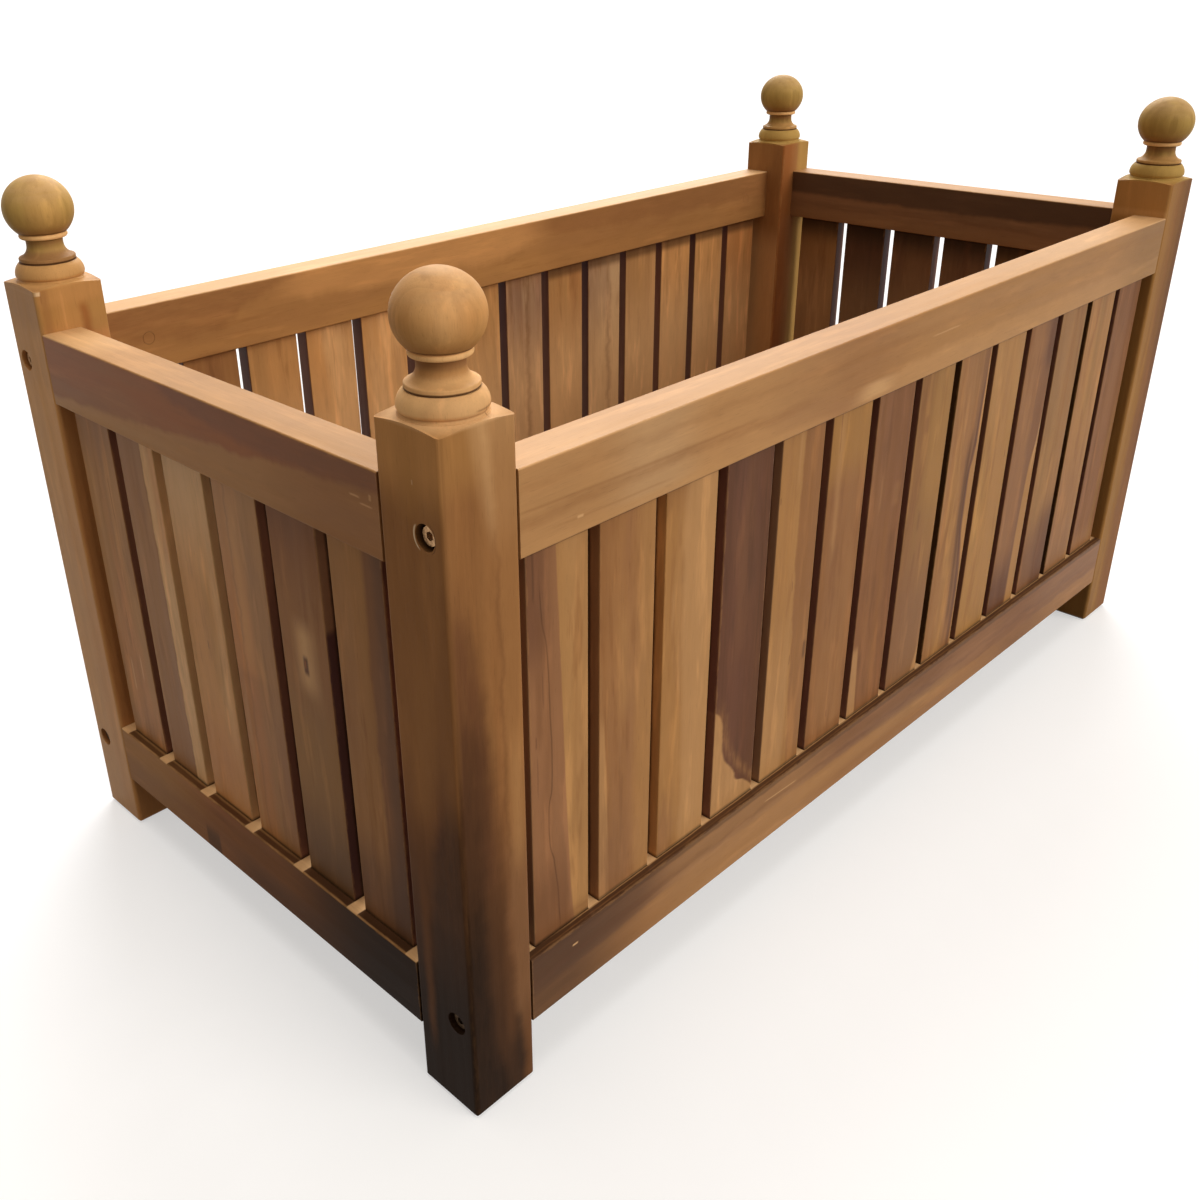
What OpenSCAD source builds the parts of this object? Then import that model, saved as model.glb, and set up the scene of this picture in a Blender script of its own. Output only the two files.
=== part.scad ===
// Rectangular hardwood planter: four posts with turned heads and ball finials, slatted sides
// housed in rails, long sides bolted to glued end frames, and a drained board floor.
// Millimetres. The origin is the centre of the footprint, on the ground. X runs along the
// long sides, -Y is the front, +Z is up.

/* [Overall] */
// Outside length over the posts
planter_length = 1200; // [1100:5:1500]
// Outside width over the posts
planter_width = 610; // [570:5:800]
// Height of the posts' square part, up to its corners
post_height = 583; // [450:1:800]

/* [Posts] */
// Side of the square posts
post_size = 65; // [60:1:72]
// Radius of the eased arrises of the posts
post_arris = 4; // [2:0.5:8]
// Chamfer round the foot of a post
foot_chamfer = 4; // [1:0.5:8]

/* [Turned heads] */
// Rise of the shoulder from the post's corners to the middle of its faces
shoulder_rise = 2.6; // [0.5:0.1:4]
// Radius of the narrow band between the shoulder and the ring
band_radius = 28.6; // [26:0.1:30]
// Height of the band's top edge above the post's corners
band_height = 5.4; // [5:0.1:7]
// Radius of the cove between the shoulder and the band
cove_radius = 1.5; // [0.5:0.1:2.4]
// Largest radius of the ring, which is rounded to its flat top and to the band
ring_radius = 30.2; // [29:0.1:32.5]
// Height of the ring's widest line above the post's corners
ring_height = 8.5; // [8:0.1:12]
// Radius of the ring's flat top, which carries the finial
seam_radius = 25; // [23:0.1:28]
// Height of the flat top above the post's corners
seam_height = 19; // [15:0.5:25]

/* [Finials] */
// Diameter of the ball at its middle
ball_diameter = 61; // [54:1:70]
// Height of the ball from pole to pole, which is slightly flattened
ball_depth = 57; // [54:1:70]
// Height of the ball's centre above the seam
ball_height = 46; // [42:0.5:55]
// Radius of the collar under the ball
collar_radius = 21; // [19.5:0.1:24]
// Thickness of the collar, which has a half-round edge
collar_thickness = 5; // [2:0.1:6]
// Radius of the neck
neck_radius = 16; // [14:0.1:18.5]
// Height above the seam at which the neck starts to flare
neck_height = 14.5; // [13:0.5:16.5]
// Radius of the flared foot over its rim
foot_radius = 24.6; // [23:0.1:28]
// Thickness of the foot's rim
foot_rim = 4.5; // [2:0.1:6]
// Radius of the rim's eased edges, which a thin rim limits to a third of its thickness
foot_edge = 1.2; // [0.4:0.1:2]
// Diameter of the spigot under the foot
spigot_diameter = 20; // [12:1:26]
// Length of the spigot
spigot_length = 30; // [20:1:45]
// Depth that the bore goes past the spigot
spigot_bore_spare = 2; // [0.5:0.5:5]

/* [Rails] */
// Thickness of the rails, across the side
rail_thickness = 38; // [34:0.5:42]
// Height of the rails
rail_height = 65; // [55:1:80]
// Distance from the posts' corners down to the top of the top rails
top_rail_drop = 38; // [15:1:80]
// Clear height under the bottom rails
ground_clearance = 60; // [30:1:120]
// Radius of the rails' eased edges
rail_edge = 1.5; // [0.5:0.5:3]

/* [Rail joints] */
// Length of the tenons on the short rails
tenon_length = 30; // [20:1:32]
// Thickness of the tenons on the short rails
tenon_thickness = 12; // [8:0.5:16]
// Length of the tongues on the long rails, which stop them from turning on their bolts
tongue_length = 8; // [5:1:12]
// Thickness of the tongues on the long rails
tongue_thickness = 20; // [16:0.5:24]
// Shoulder above and below a tenon or a tongue
joint_shoulder = 10; // [5:1:18]
// Clearance round a tenon, a tongue or a slat in its mortise
joint_clearance = 0.25; // [0.1:0.05:0.5]
// Depth that a tenon's or tongue's mortise goes past its end
mortise_spare = 1; // [0.5:0.5:2]

/* [Slats] */
// Number of slats in each long side
long_slat_count = 14; // [8:1:14]
// Number of slats in each short side
short_slat_count = 6; // [3:1:6]
// Width of a slat
slat_width = 63; // [50:1:66]
// Thickness of a slat
slat_thickness = 18; // [9:0.5:20]
// Setback of the slats from the rails' outer faces
slat_setback = 9; // [8:0.5:16]
// Depth of the mortises that hold the slats' ends
slat_housing = 12; // [8:0.5:18]
// Play above a slat in its top mortise
slat_play = 0.8; // [0.3:0.1:2]
// Radius of the slats' eased edges
slat_edge = 1; // [0.5:0.5:3]

/* [Connector bolts] */
// Diameter of the bolts
bolt_diameter = 8; // [6:0.5:10]
// Diameter of the bolts' socket heads
bolt_head_diameter = 14; // [13:0.5:18]
// Height of the bolts' heads
bolt_head_height = 8; // [5:0.5:10]
// Width of the hexagon socket across its flats
socket_width = 6; // [5:0.5:8]
// Depth of the hexagon socket
socket_depth = 5; // [3:0.5:6]
// Diameter of the counterbore in the post
counterbore_diameter = 19.5; // [18:0.5:24]
// Depth of the counterbore in the post
counterbore_depth = 12; // [10:0.5:20]
// Distance from the post to the axis of the cross-dowel nut
nut_distance = 50; // [35:1:70]
// Diameter of the cross-dowel nut
nut_diameter = 12; // [11:0.5:15]
// Length of the cross-dowel nut
nut_length = 24; // [18:1:28]
// Length of bolt past the nut's axis
bolt_end = 10; // [7:1:15]
// Clearance in radius round a bolt, a nut or a spigot
bore_clearance = 0.3; // [0.2:0.05:0.5]

/* [Floor] */
// Side of the square floor bearers
bearer_size = 30; // [24:1:36]
// Depth of the housings in the posts that hold the bearers' ends
bearer_housing = 8; // [5:1:12]
// Number of floor boards
board_count = 11; // [6:1:13]
// Thickness of the floor boards
board_thickness = 18; // [12:1:22]
// Gap between the floor boards, for drainage
board_gap = 10; // [5:1:20]
// Clearance between the floor boards and the rails and posts
floor_clearance = 1.5; // [1:0.5:5]
// Radius of the floor boards' eased edges
board_edge = 1.5; // [0.5:0.5:3]

/* [Hidden] */
$fn = 96;
// Overshoot of the cutters past the faces that they open
cut = 1;

// Rails, slats and floor: heights above the ground and lengths between the posts
top_rail_top = post_height - top_rail_drop;
top_rail_bottom = top_rail_top - rail_height;
bottom_rail_top = ground_clearance + rail_height;
long_span = planter_length - 2 * post_size;
short_span = planter_width - 2 * post_size;
slat_bottom = bottom_rail_top - slat_housing;
slat_length = top_rail_bottom + slat_housing - slat_play - slat_bottom;
long_slat_gap = (long_span - long_slat_count * slat_width) / (long_slat_count + 1);
short_slat_gap = (short_span - short_slat_count * slat_width) / (short_slat_count + 1);

// Turned head: the ring's upper curve ends at the seam's edge, its lower one at the band
post_corner_radius = sqrt(2) * (post_size / 2 - post_arris) + post_arris;
shoulder_slope = shoulder_rise / (post_corner_radius - post_size / 2);
ring_curve = arc_radius(ring_radius - seam_radius, seam_height - ring_height);
under_curve = arc_radius(ring_radius - band_radius, ring_height - band_height);
seam_top = post_height + seam_height;

// Finial: heights above the seam. The collar's top lies where the ball has the collar's radius
ball_radius = ball_diameter / 2;
ball_flatness = ball_depth / ball_diameter;
collar_top = ball_height - ball_flatness * sqrt(pow(ball_radius, 2) - pow(collar_radius, 2));
collar_bottom = collar_top - collar_thickness;
rim_edge = min(foot_edge, foot_rim / 3);
neck_curve = arc_radius(foot_radius - rim_edge - neck_radius, neck_height - foot_rim);

// Joints: the bolts, tenons and tongues all lie on the rails' middle lines
rail_middle = rail_thickness / 2;
rail_axes = [ground_clearance + rail_height / 2, top_rail_top - rail_height / 2];
joint_height = rail_height - 2 * joint_shoulder;
bolt_length = post_size - counterbore_depth + nut_distance + bolt_end;
bolt_hole_diameter = bolt_diameter + 2 * bore_clearance;

// Floor
floor_seat = ground_clearance + bearer_size;
board_length = planter_width - 2 * (rail_thickness + floor_clearance);
boards_span = planter_length - 2 * (rail_thickness + floor_clearance);
board_width = (boards_span - (board_count - 1) * board_gap) / board_count;

corner_names = ["front_left", "front_right", "back_left", "back_right"];
// Which of the four corners lie on the right, and which at the back
corner_sides = [[0, 0], [1, 0], [0, 1], [1, 1]];
front_slat_names = numbered("slat_front_", long_slat_count);
back_slat_names = numbered("slat_back_", long_slat_count);
left_slat_names = numbered("slat_left_", short_slat_count);
right_slat_names = numbered("slat_right_", short_slat_count);

// Radius of the arc that leaves a line at right angles and reaches depth in from it after height
function arc_radius(depth, height) = (pow(depth, 2) + pow(height, 2)) / (2 * depth);

// Names with a two-digit number, such as slat_front_01
function numbered(stem, count) = [for (i = [1 : count]) str(stem, i < 10 ? "0" : "", i)];

// Offset of the centre of slat i from the middle of its side
function slat_offset(i, count, gap) = (i - (count - 1) / 2) * (slat_width + gap);

// Rectangle centred on the origin, with round corners
module eased_rectangle(x, y, radius) {
    square([x - 2 * radius, y], center = true);
    square([x, y - 2 * radius], center = true);
    for (sx = [-1, 1], sy = [-1, 1])
        translate([sx * (x / 2 - radius), sy * (y / 2 - radius)]) circle(r = radius);
}

// Puts what is drawn at a corner, with the post's outer corner at the origin and the planter
// in +X and +Y, at one of the four corners of the planter
module at_corner(side) {
    mirror([side[0], 0, 0]) mirror([0, side[1], 0])
        translate([-planter_length / 2, -planter_width / 2, 0]) children();
}

// Bar along X, from -length / 2 to length / 2, with its outer face at y = 0 and its foot at z = 0
module bar_x(length, thickness, height, edge) {
    translate([-length / 2, thickness / 2, height / 2]) rotate([90, 0, 90])
        linear_extrude(length) eased_rectangle(thickness, height, edge);
}

// ---- Posts ----

// Half section of a post and its turned head, heights from the post's corners
module head_outline() {
    outer = post_corner_radius + cut;
    shoulder_top = shoulder_height(0);
    polygon([
        [0, -post_height - cut], [outer, -post_height - cut], [outer, shoulder_height(outer)],
        [0, shoulder_top]
    ]);
    square([band_radius, band_height]);
    difference() {
        translate([band_radius - cut, 0])
            square([cove_radius + cut, shoulder_height(band_radius) + cove_radius]);
        translate([band_radius + cove_radius, shoulder_height(band_radius) + cove_radius])
            circle(r = cove_radius);
    }
    ring_part(ring_curve, ring_height, seam_height);
    ring_part(under_curve, band_height, ring_height);
}

// The part of the ring's section from one height to another, rounded by an arc with its
// centre at the height of the ring's widest line
module ring_part(curve, bottom, top) {
    intersection() {
        union() {
            translate([ring_radius - curve, ring_height]) circle(r = curve);
            square([ring_radius - curve, seam_height]);
        }
        translate([0, bottom]) square([ring_radius, top - bottom]);
    }
}

// Height of the sloping shoulder above the post's corners, at a radius from the post's axis
function shoulder_height(radius) = shoulder_slope * (post_corner_radius - radius);

// Post without its joints, centred on its axis
module post_blank() {
    intersection() {
        linear_extrude(seam_top) eased_rectangle(post_size, post_size, post_arris);
        translate([0, 0, post_height]) rotate_extrude() head_outline();
    }
}

// The wedges that chamfer the foot, for a post centred on its axis
module foot_cuts() {
    wedge = foot_chamfer * sqrt(2);
    for (turn = [0 : 90 : 270])
        rotate([0, 0, turn]) translate([post_size / 2, 0, 0]) rotate([0, 45, 0])
            cube([wedge, post_size + cut, wedge], center = true);
}

// Bolt hole and counterbore, along X from the post's outer face, at the origin's height
module bolt_bore() {
    translate([-cut, rail_middle, 0]) rotate([0, 90, 0]) {
        cylinder(d = bolt_hole_diameter, h = post_size + 2 * cut);
        cylinder(d = counterbore_diameter, h = counterbore_depth + cut);
    }
}

// Mortises for a long rail's tongue and a short rail's tenon, at the origin's height
module rail_mortises() {
    tongue_width = tongue_thickness + 2 * joint_clearance;
    tenon_width = tenon_thickness + 2 * joint_clearance;
    mortise_height = joint_height + 2 * joint_clearance;
    tongue_depth = tongue_length + mortise_spare;
    tenon_depth = tenon_length + mortise_spare;
    translate([post_size - tongue_depth, rail_middle - tongue_width / 2, -mortise_height / 2])
        cube([tongue_depth + cut, tongue_width, mortise_height]);
    translate([rail_middle - tenon_width / 2, post_size - tenon_depth, -mortise_height / 2])
        cube([tenon_width, tenon_depth + cut, mortise_height]);
}

// Notch in the post's inner corner that carries the end of a floor bearer
module bearer_notch() {
    depth = bearer_housing + joint_clearance;
    translate([post_size - depth, rail_thickness - joint_clearance, ground_clearance])
        cube([depth + cut, post_size, bearer_size + joint_clearance]);
}

// Bore in the post's head for the finial's spigot, for a post centred on its axis
module spigot_bore() {
    depth = spigot_length + spigot_bore_spare;
    translate([0, 0, seam_top - depth])
        cylinder(d = spigot_diameter + 2 * bore_clearance, h = depth + cut);
}

module post(side) {
    color("#8a6038") at_corner(side) difference() {
        translate([post_size / 2, post_size / 2, 0]) difference() {
            post_blank();
            foot_cuts();
            spigot_bore();
        }
        for (z = rail_axes) translate([0, 0, z]) {
            bolt_bore();
            rail_mortises();
        }
        bearer_notch();
    }
}

// ---- Finials ----

// Half section of a finial, heights from the seam
module finial_outline() {
    intersection() {
        translate([0, ball_height]) scale([1, ball_flatness]) circle(r = ball_radius);
        translate([0, collar_top]) square([ball_radius, 2 * ball_radius]);
    }
    translate([0, collar_bottom]) square([collar_radius - collar_thickness / 2, collar_thickness]);
    translate([collar_radius - collar_thickness / 2, collar_top - collar_thickness / 2])
        circle(d = collar_thickness);
    square([neck_radius, collar_bottom]);
    difference() {
        translate([0, foot_rim]) square([foot_radius - rim_edge, neck_height - foot_rim]);
        translate([neck_radius + neck_curve, neck_height]) circle(r = neck_curve);
    }
    square([foot_radius - rim_edge, foot_rim]);
    translate([0, rim_edge]) square([foot_radius, foot_rim - 2 * rim_edge]);
    for (z = [rim_edge, foot_rim - rim_edge]) translate([foot_radius - rim_edge, z]) circle(r = rim_edge);
    translate([0, -spigot_length]) square([spigot_diameter / 2, spigot_length]);
}

module finial(side) {
    color("#c69a63") at_corner(side) translate([post_size / 2, post_size / 2, seam_top])
        rotate_extrude() finial_outline();
}

// ---- Rails ----

// Row of slat mortises along X, opening at z = 0, their solid side below for a bottom rail
// (up = 1) or above for a top rail (up = -1)
module slat_mortises(count, gap, up) {
    length = slat_width + 2 * joint_clearance;
    width = slat_thickness + 2 * joint_clearance;
    floor_height = up > 0 ? -slat_housing : -cut;
    for (i = [0 : count - 1])
        translate([slat_offset(i, count, gap) - length / 2, slat_setback - joint_clearance, floor_height])
            cube([length, width, slat_housing + cut]);
}

// Bolt hole and cross-dowel hole in the +X end of a long rail, at the rail's mid-height
module nut_bore() {
    hole_depth = tongue_length + nut_distance + bolt_end + mortise_spare;
    translate([long_span / 2 + tongue_length - hole_depth, rail_middle, 0]) rotate([0, 90, 0])
        cylinder(d = bolt_hole_diameter, h = hole_depth + cut);
    translate([long_span / 2 - nut_distance, rail_middle - nut_length / 2, 0]) rotate([-90, 0, 0])
        cylinder(d = nut_diameter + 2 * bore_clearance, h = rail_thickness);
}

// Long rail of the front side, with its foot at z = 0
module long_rail(up) {
    difference() {
        union() {
            bar_x(long_span, rail_thickness, rail_height, rail_edge);
            translate([-long_span / 2 - tongue_length, rail_middle - tongue_thickness / 2, joint_shoulder])
                cube([long_span + 2 * tongue_length, tongue_thickness, joint_height]);
        }
        translate([0, 0, up > 0 ? rail_height : 0]) slat_mortises(long_slat_count, long_slat_gap, up);
        for (end = [0, 1]) mirror([end, 0, 0]) translate([0, 0, rail_height / 2]) nut_bore();
    }
    for (end = [0, 1]) mirror([end, 0, 0]) translate([0, 0, rail_height / 2]) nut_plug();
}

// Plug that closes the cross-dowel hole flush with the rail's inner face, on the nut's end
module nut_plug() {
    translate([long_span / 2 - nut_distance, rail_middle + nut_length / 2, 0]) rotate([-90, 0, 0])
        cylinder(d = nut_diameter, h = rail_middle - nut_length / 2);
}

// Short rail laid along X like the long one, with its foot at z = 0
module short_rail(up) {
    difference() {
        union() {
            bar_x(short_span, rail_thickness, rail_height, rail_edge);
            translate([-short_span / 2 - tenon_length, rail_middle - tenon_thickness / 2, joint_shoulder])
                cube([short_span + 2 * tenon_length, tenon_thickness, joint_height]);
        }
        translate([0, 0, up > 0 ? rail_height : 0]) slat_mortises(short_slat_count, short_slat_gap, up);
    }
}

// Puts what is drawn along X with its outer face at y = 0 at the front (0) or the back (1)
module at_long_side(back) {
    mirror([0, back, 0]) translate([0, -planter_width / 2, 0]) children();
}

// Puts it at the left end (0) or the right end (1), turned so that it counts from the front
module at_short_side(right) {
    mirror([right, 0, 0]) translate([-planter_length / 2, 0, 0]) mirror([1, -1, 0]) children();
}

module rail_front_top() {
    color("#b98d5f") at_long_side(0) translate([0, 0, top_rail_bottom]) long_rail(-1);
}

module rail_front_bottom() {
    color("#a87b4f") at_long_side(0) translate([0, 0, ground_clearance]) long_rail(1);
}

module rail_back_top() {
    color("#b98d5f") at_long_side(1) translate([0, 0, top_rail_bottom]) long_rail(-1);
}

module rail_back_bottom() {
    color("#a87b4f") at_long_side(1) translate([0, 0, ground_clearance]) long_rail(1);
}

module rail_left_top() {
    color("#9c7148") at_short_side(0) translate([0, 0, top_rail_bottom]) short_rail(-1);
}

module rail_left_bottom() {
    color("#7d5836") at_short_side(0) translate([0, 0, ground_clearance]) short_rail(1);
}

module rail_right_top() {
    color("#9c7148") at_short_side(1) translate([0, 0, top_rail_bottom]) short_rail(-1);
}

module rail_right_bottom() {
    color("#7d5836") at_short_side(1) translate([0, 0, ground_clearance]) short_rail(1);
}

// ---- Slats ----

// One slat of a side laid along X, at its place in the row
module slat(i, count, gap) {
    translate([slat_offset(i, count, gap), slat_setback + slat_thickness / 2, slat_bottom])
        linear_extrude(slat_length) eased_rectangle(slat_width, slat_thickness, slat_edge);
}

module long_slat(i, back) {
    color(i % 3 == 2 ? "#9a7354" : "#b08a58")
        at_long_side(back) slat(i, long_slat_count, long_slat_gap);
}

module short_slat(i, right) {
    color(i % 3 == 1 ? "#8f6a4a" : "#a57f50")
        at_short_side(right) slat(i, short_slat_count, short_slat_gap);
}

// ---- Bolts and nuts ----

// Bolt along X, its head's seat on the floor of the counterbore
module connector_bolt() {
    translate([counterbore_depth, rail_middle, 0]) rotate([0, 90, 0]) difference() {
        union() {
            translate([0, 0, -bolt_head_height])
                cylinder(d = bolt_head_diameter, h = bolt_head_height);
            cylinder(d = bolt_diameter, h = bolt_length);
        }
        translate([0, 0, -bolt_head_height - cut])
            cylinder(d = socket_width / cos(30), h = socket_depth + cut, $fn = 6);
    }
}

// Cross-dowel nut, its axis along Y, on the floor of its hole
module cross_dowel_nut() {
    translate([post_size + nut_distance, rail_middle, 0]) difference() {
        rotate([90, 0, 0]) cylinder(d = nut_diameter, h = nut_length, center = true);
        rotate([0, 90, 0])
            cylinder(d = bolt_hole_diameter, h = nut_diameter + 2 * cut, center = true);
    }
}

module connector_bolts() {
    color("#b8ab9a") for (side = corner_sides, z = rail_axes)
        at_corner(side) translate([0, 0, z]) connector_bolt();
}

module cross_dowel_nuts() {
    color("#9a958c") for (side = corner_sides, z = rail_axes)
        at_corner(side) translate([0, 0, z]) cross_dowel_nut();
}

// ---- Floor ----

module floor_bearers() {
    color("#8a6038") for (back = [0, 1]) at_long_side(back)
        translate([0, rail_thickness, ground_clearance])
            bar_x(long_span + 2 * bearer_housing, bearer_size, bearer_size, board_edge);
}

// Board i of the floor, across the planter
module floor_board(i) {
    offset_x = (i - (board_count - 1) / 2) * (board_width + board_gap);
    translate([offset_x, 0, floor_seat + board_thickness / 2])
        rotate([90, 0, 0]) linear_extrude(board_length, center = true)
            eased_rectangle(board_width, board_thickness, board_edge);
}

// The floor boards, the outer two notched round the posts
module floor_boards() {
    notch = post_size + floor_clearance;
    color("#a57f50") difference() {
        for (i = [0 : board_count - 1]) floor_board(i);
        for (side = corner_sides) at_corner(side)
            translate([-cut, -cut, floor_seat - cut])
                cube([notch + cut, notch + cut, board_thickness + 2 * cut]);
    }
}

// ---- Assembly ----

for (i = [0 : 3]) {
    post(corner_sides[i]);
    finial(corner_sides[i]);
}
rail_front_top();
rail_front_bottom();
rail_back_top();
rail_back_bottom();
rail_left_top();
rail_left_bottom();
rail_right_top();
rail_right_bottom();
for (i = [0 : long_slat_count - 1]) {
    long_slat(i, 0);
    long_slat(i, 1);
}
for (i = [0 : short_slat_count - 1]) {
    short_slat(i, 0);
    short_slat(i, 1);
}
connector_bolts();
cross_dowel_nuts();
floor_bearers();
floor_boards();
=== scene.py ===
# Hardwood planter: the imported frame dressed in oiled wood, on a pale floor in soft daylight.
# Metres. X runs along the long sides, -Y is the front, +Z is up.
import math
import random

import bpy
from mathutils import Euler, Matrix, Vector

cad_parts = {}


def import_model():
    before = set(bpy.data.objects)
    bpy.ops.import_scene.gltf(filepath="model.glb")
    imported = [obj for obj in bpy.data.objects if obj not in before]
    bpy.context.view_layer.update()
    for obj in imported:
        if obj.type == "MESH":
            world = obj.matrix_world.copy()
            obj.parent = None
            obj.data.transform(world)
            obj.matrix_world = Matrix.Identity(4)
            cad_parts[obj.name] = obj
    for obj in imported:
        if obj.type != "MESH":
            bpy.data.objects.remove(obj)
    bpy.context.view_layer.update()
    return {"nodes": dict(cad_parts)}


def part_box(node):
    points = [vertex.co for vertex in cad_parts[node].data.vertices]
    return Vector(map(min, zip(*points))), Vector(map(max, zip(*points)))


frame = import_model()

nodes = frame["nodes"]
scene = bpy.context.scene
print("frame loaded:", len(nodes), "nodes")


def colour(hexText):
    # "#rrggbb" as a linear colour
    parts = [int(hexText[i:i + 2], 16) / 255 for i in (1, 3, 5)]
    return tuple(p / 12.92 if p <= 0.04045 else ((p + 0.055) / 1.055) ** 2.4 for p in parts) + (1.0,)


class Signal:
    # an output socket that can stand in a formula: each sign adds a maths node
    def __init__(self, socket):
        self.socket, self.tree = socket, socket.id_data

    def __add__(self, other):
        return sums("ADD", self, other)

    def __sub__(self, other):
        return sums("SUBTRACT", self, other)

    def __rsub__(self, other):
        return sums("SUBTRACT", other, self)

    def __mul__(self, other):
        return sums("MULTIPLY", self, other)

    def __truediv__(self, other):
        return sums("DIVIDE", self, other)


def signals(sockets):
    return {socket.name: Signal(socket) for socket in sockets}


def plug(socket, value):
    # a link or a plain value, whichever it is
    if isinstance(value, Signal):
        value.tree.links.new(value.socket, socket)
    else:
        socket.default_value = value


def place(kind, inputs=(), tree=None, **settings):
    # one shader node; inputs are pairs of socket name or number and a signal or a plain value
    tree = tree or next(value.tree for _, value in inputs if isinstance(value, Signal))
    node = tree.nodes.new(kind)
    for key, value in settings.items():
        setattr(node, key, value)
    for key, value in inputs:
        plug(node.inputs[key], value)
    return node


def result(kind, inputs, **settings):
    # the first output in use of a new node
    return Signal(next(socket for socket in place(kind, inputs, **settings).outputs if socket.enabled))


def sums(operation, *terms, clamp=False):
    return result("ShaderNodeMath", list(enumerate(terms)), operation=operation, use_clamp=clamp)


def vectors(operation, *terms):
    return result("ShaderNodeVectorMath", list(enumerate(terms)), operation=operation)


def joined(*parts):
    return result("ShaderNodeCombineXYZ", list(enumerate(parts)))


def parted(vector):
    return [Signal(socket) for socket in place("ShaderNodeSeparateXYZ", [(0, vector)]).outputs]


def blended(factor, under, above, how="MIX"):
    return result("ShaderNodeMix", [("Factor", factor), (6, under), (7, above)],    # 6 and 7: the colours
                  data_type="RGBA", blend_type=how)


def eased(value, low, high, toLow=0.0, toHigh=1.0):
    # smooth step from low to high
    return result("ShaderNodeMapRange", [("Value", value), ("From Min", low), ("From Max", high),
                                         ("To Min", toLow), ("To Max", toHigh)],
                  interpolation_type="SMOOTHSTEP")


def noise(vector, detail=2.0, rough=0.5, scale=1.0, output="Fac"):
    node = place("ShaderNodeTexNoise", [("Vector", vector), ("Scale", scale), ("Detail", detail),
                                        ("Roughness", rough)])
    return Signal(node.outputs[output])


def stretched(vector, across, along):
    # the grain's coordinates scaled by across in the cross-section and by along lengthwise
    return vectors("MULTIPLY", vector, (across, across, along))


def newGroup(name, inputs, outputs):
    tree = bpy.data.node_groups.new(name, "ShaderNodeTree")
    for label, kind, value in inputs:
        socket = tree.interface.new_socket(label, in_out="INPUT", socket_type="NodeSocket" + kind)
        if value is not None:
            socket.default_value = value
    for label, kind in outputs:
        tree.interface.new_socket(label, in_out="OUTPUT", socket_type="NodeSocket" + kind)
    given = signals(tree.nodes.new("NodeGroupInput").outputs[:-1])    # the last one is the empty socket
    return tree, given, tree.nodes.new("NodeGroupOutput").inputs


figure = {
    # each noise of the wood: features per metre across the grain and along it, detail and roughness
    "bend": (16, 2.6, 2.0, 0.5), "patches": (24, 3.4, 3.0, 0.55), "wide": (62, 1.3, 2.0, 0.55),
    "narrow": (200, 2.4, 2.0, 0.6), "smoke": (78, 10, 3.0, 0.62), "glow": (64, 8, 3.0, 0.6),
    "fibre": (900, 16, 2.0, 0.6), "mottle": (85, 26, 3.0, 0.55), "cloud": (13, 5, 2.0, 0.5),
    "pore": (1500, 70, 1.0, 0.5),
    "seedStep": (1.37, 2.11, 3.73),     # metres that one seed lies from the next
    "bendReach": 0.02,                  # how far the grain wanders, in metres
    "lean": 0.012,                      # how much the pith leans along the piece
    "ringLumps": 2.2,                   # how uneven the rings are, in rings
    "smokeTint": (0.78, 0.7, 0.62),     # laid over the tone of the lines
    "cloudShade": 0.22, "fibreShade": 0.1, "glowShade": 0.7,
    # a knot: how it is drawn out along the grain, how fast it fades, how far it pushes the rings, its heart
    "knotLength": 0.55, "knotFall": -0.35, "knotPush": 2.4, "knotHeart": (0.11, 0.06, 0.03, 1.0),
}


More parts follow.
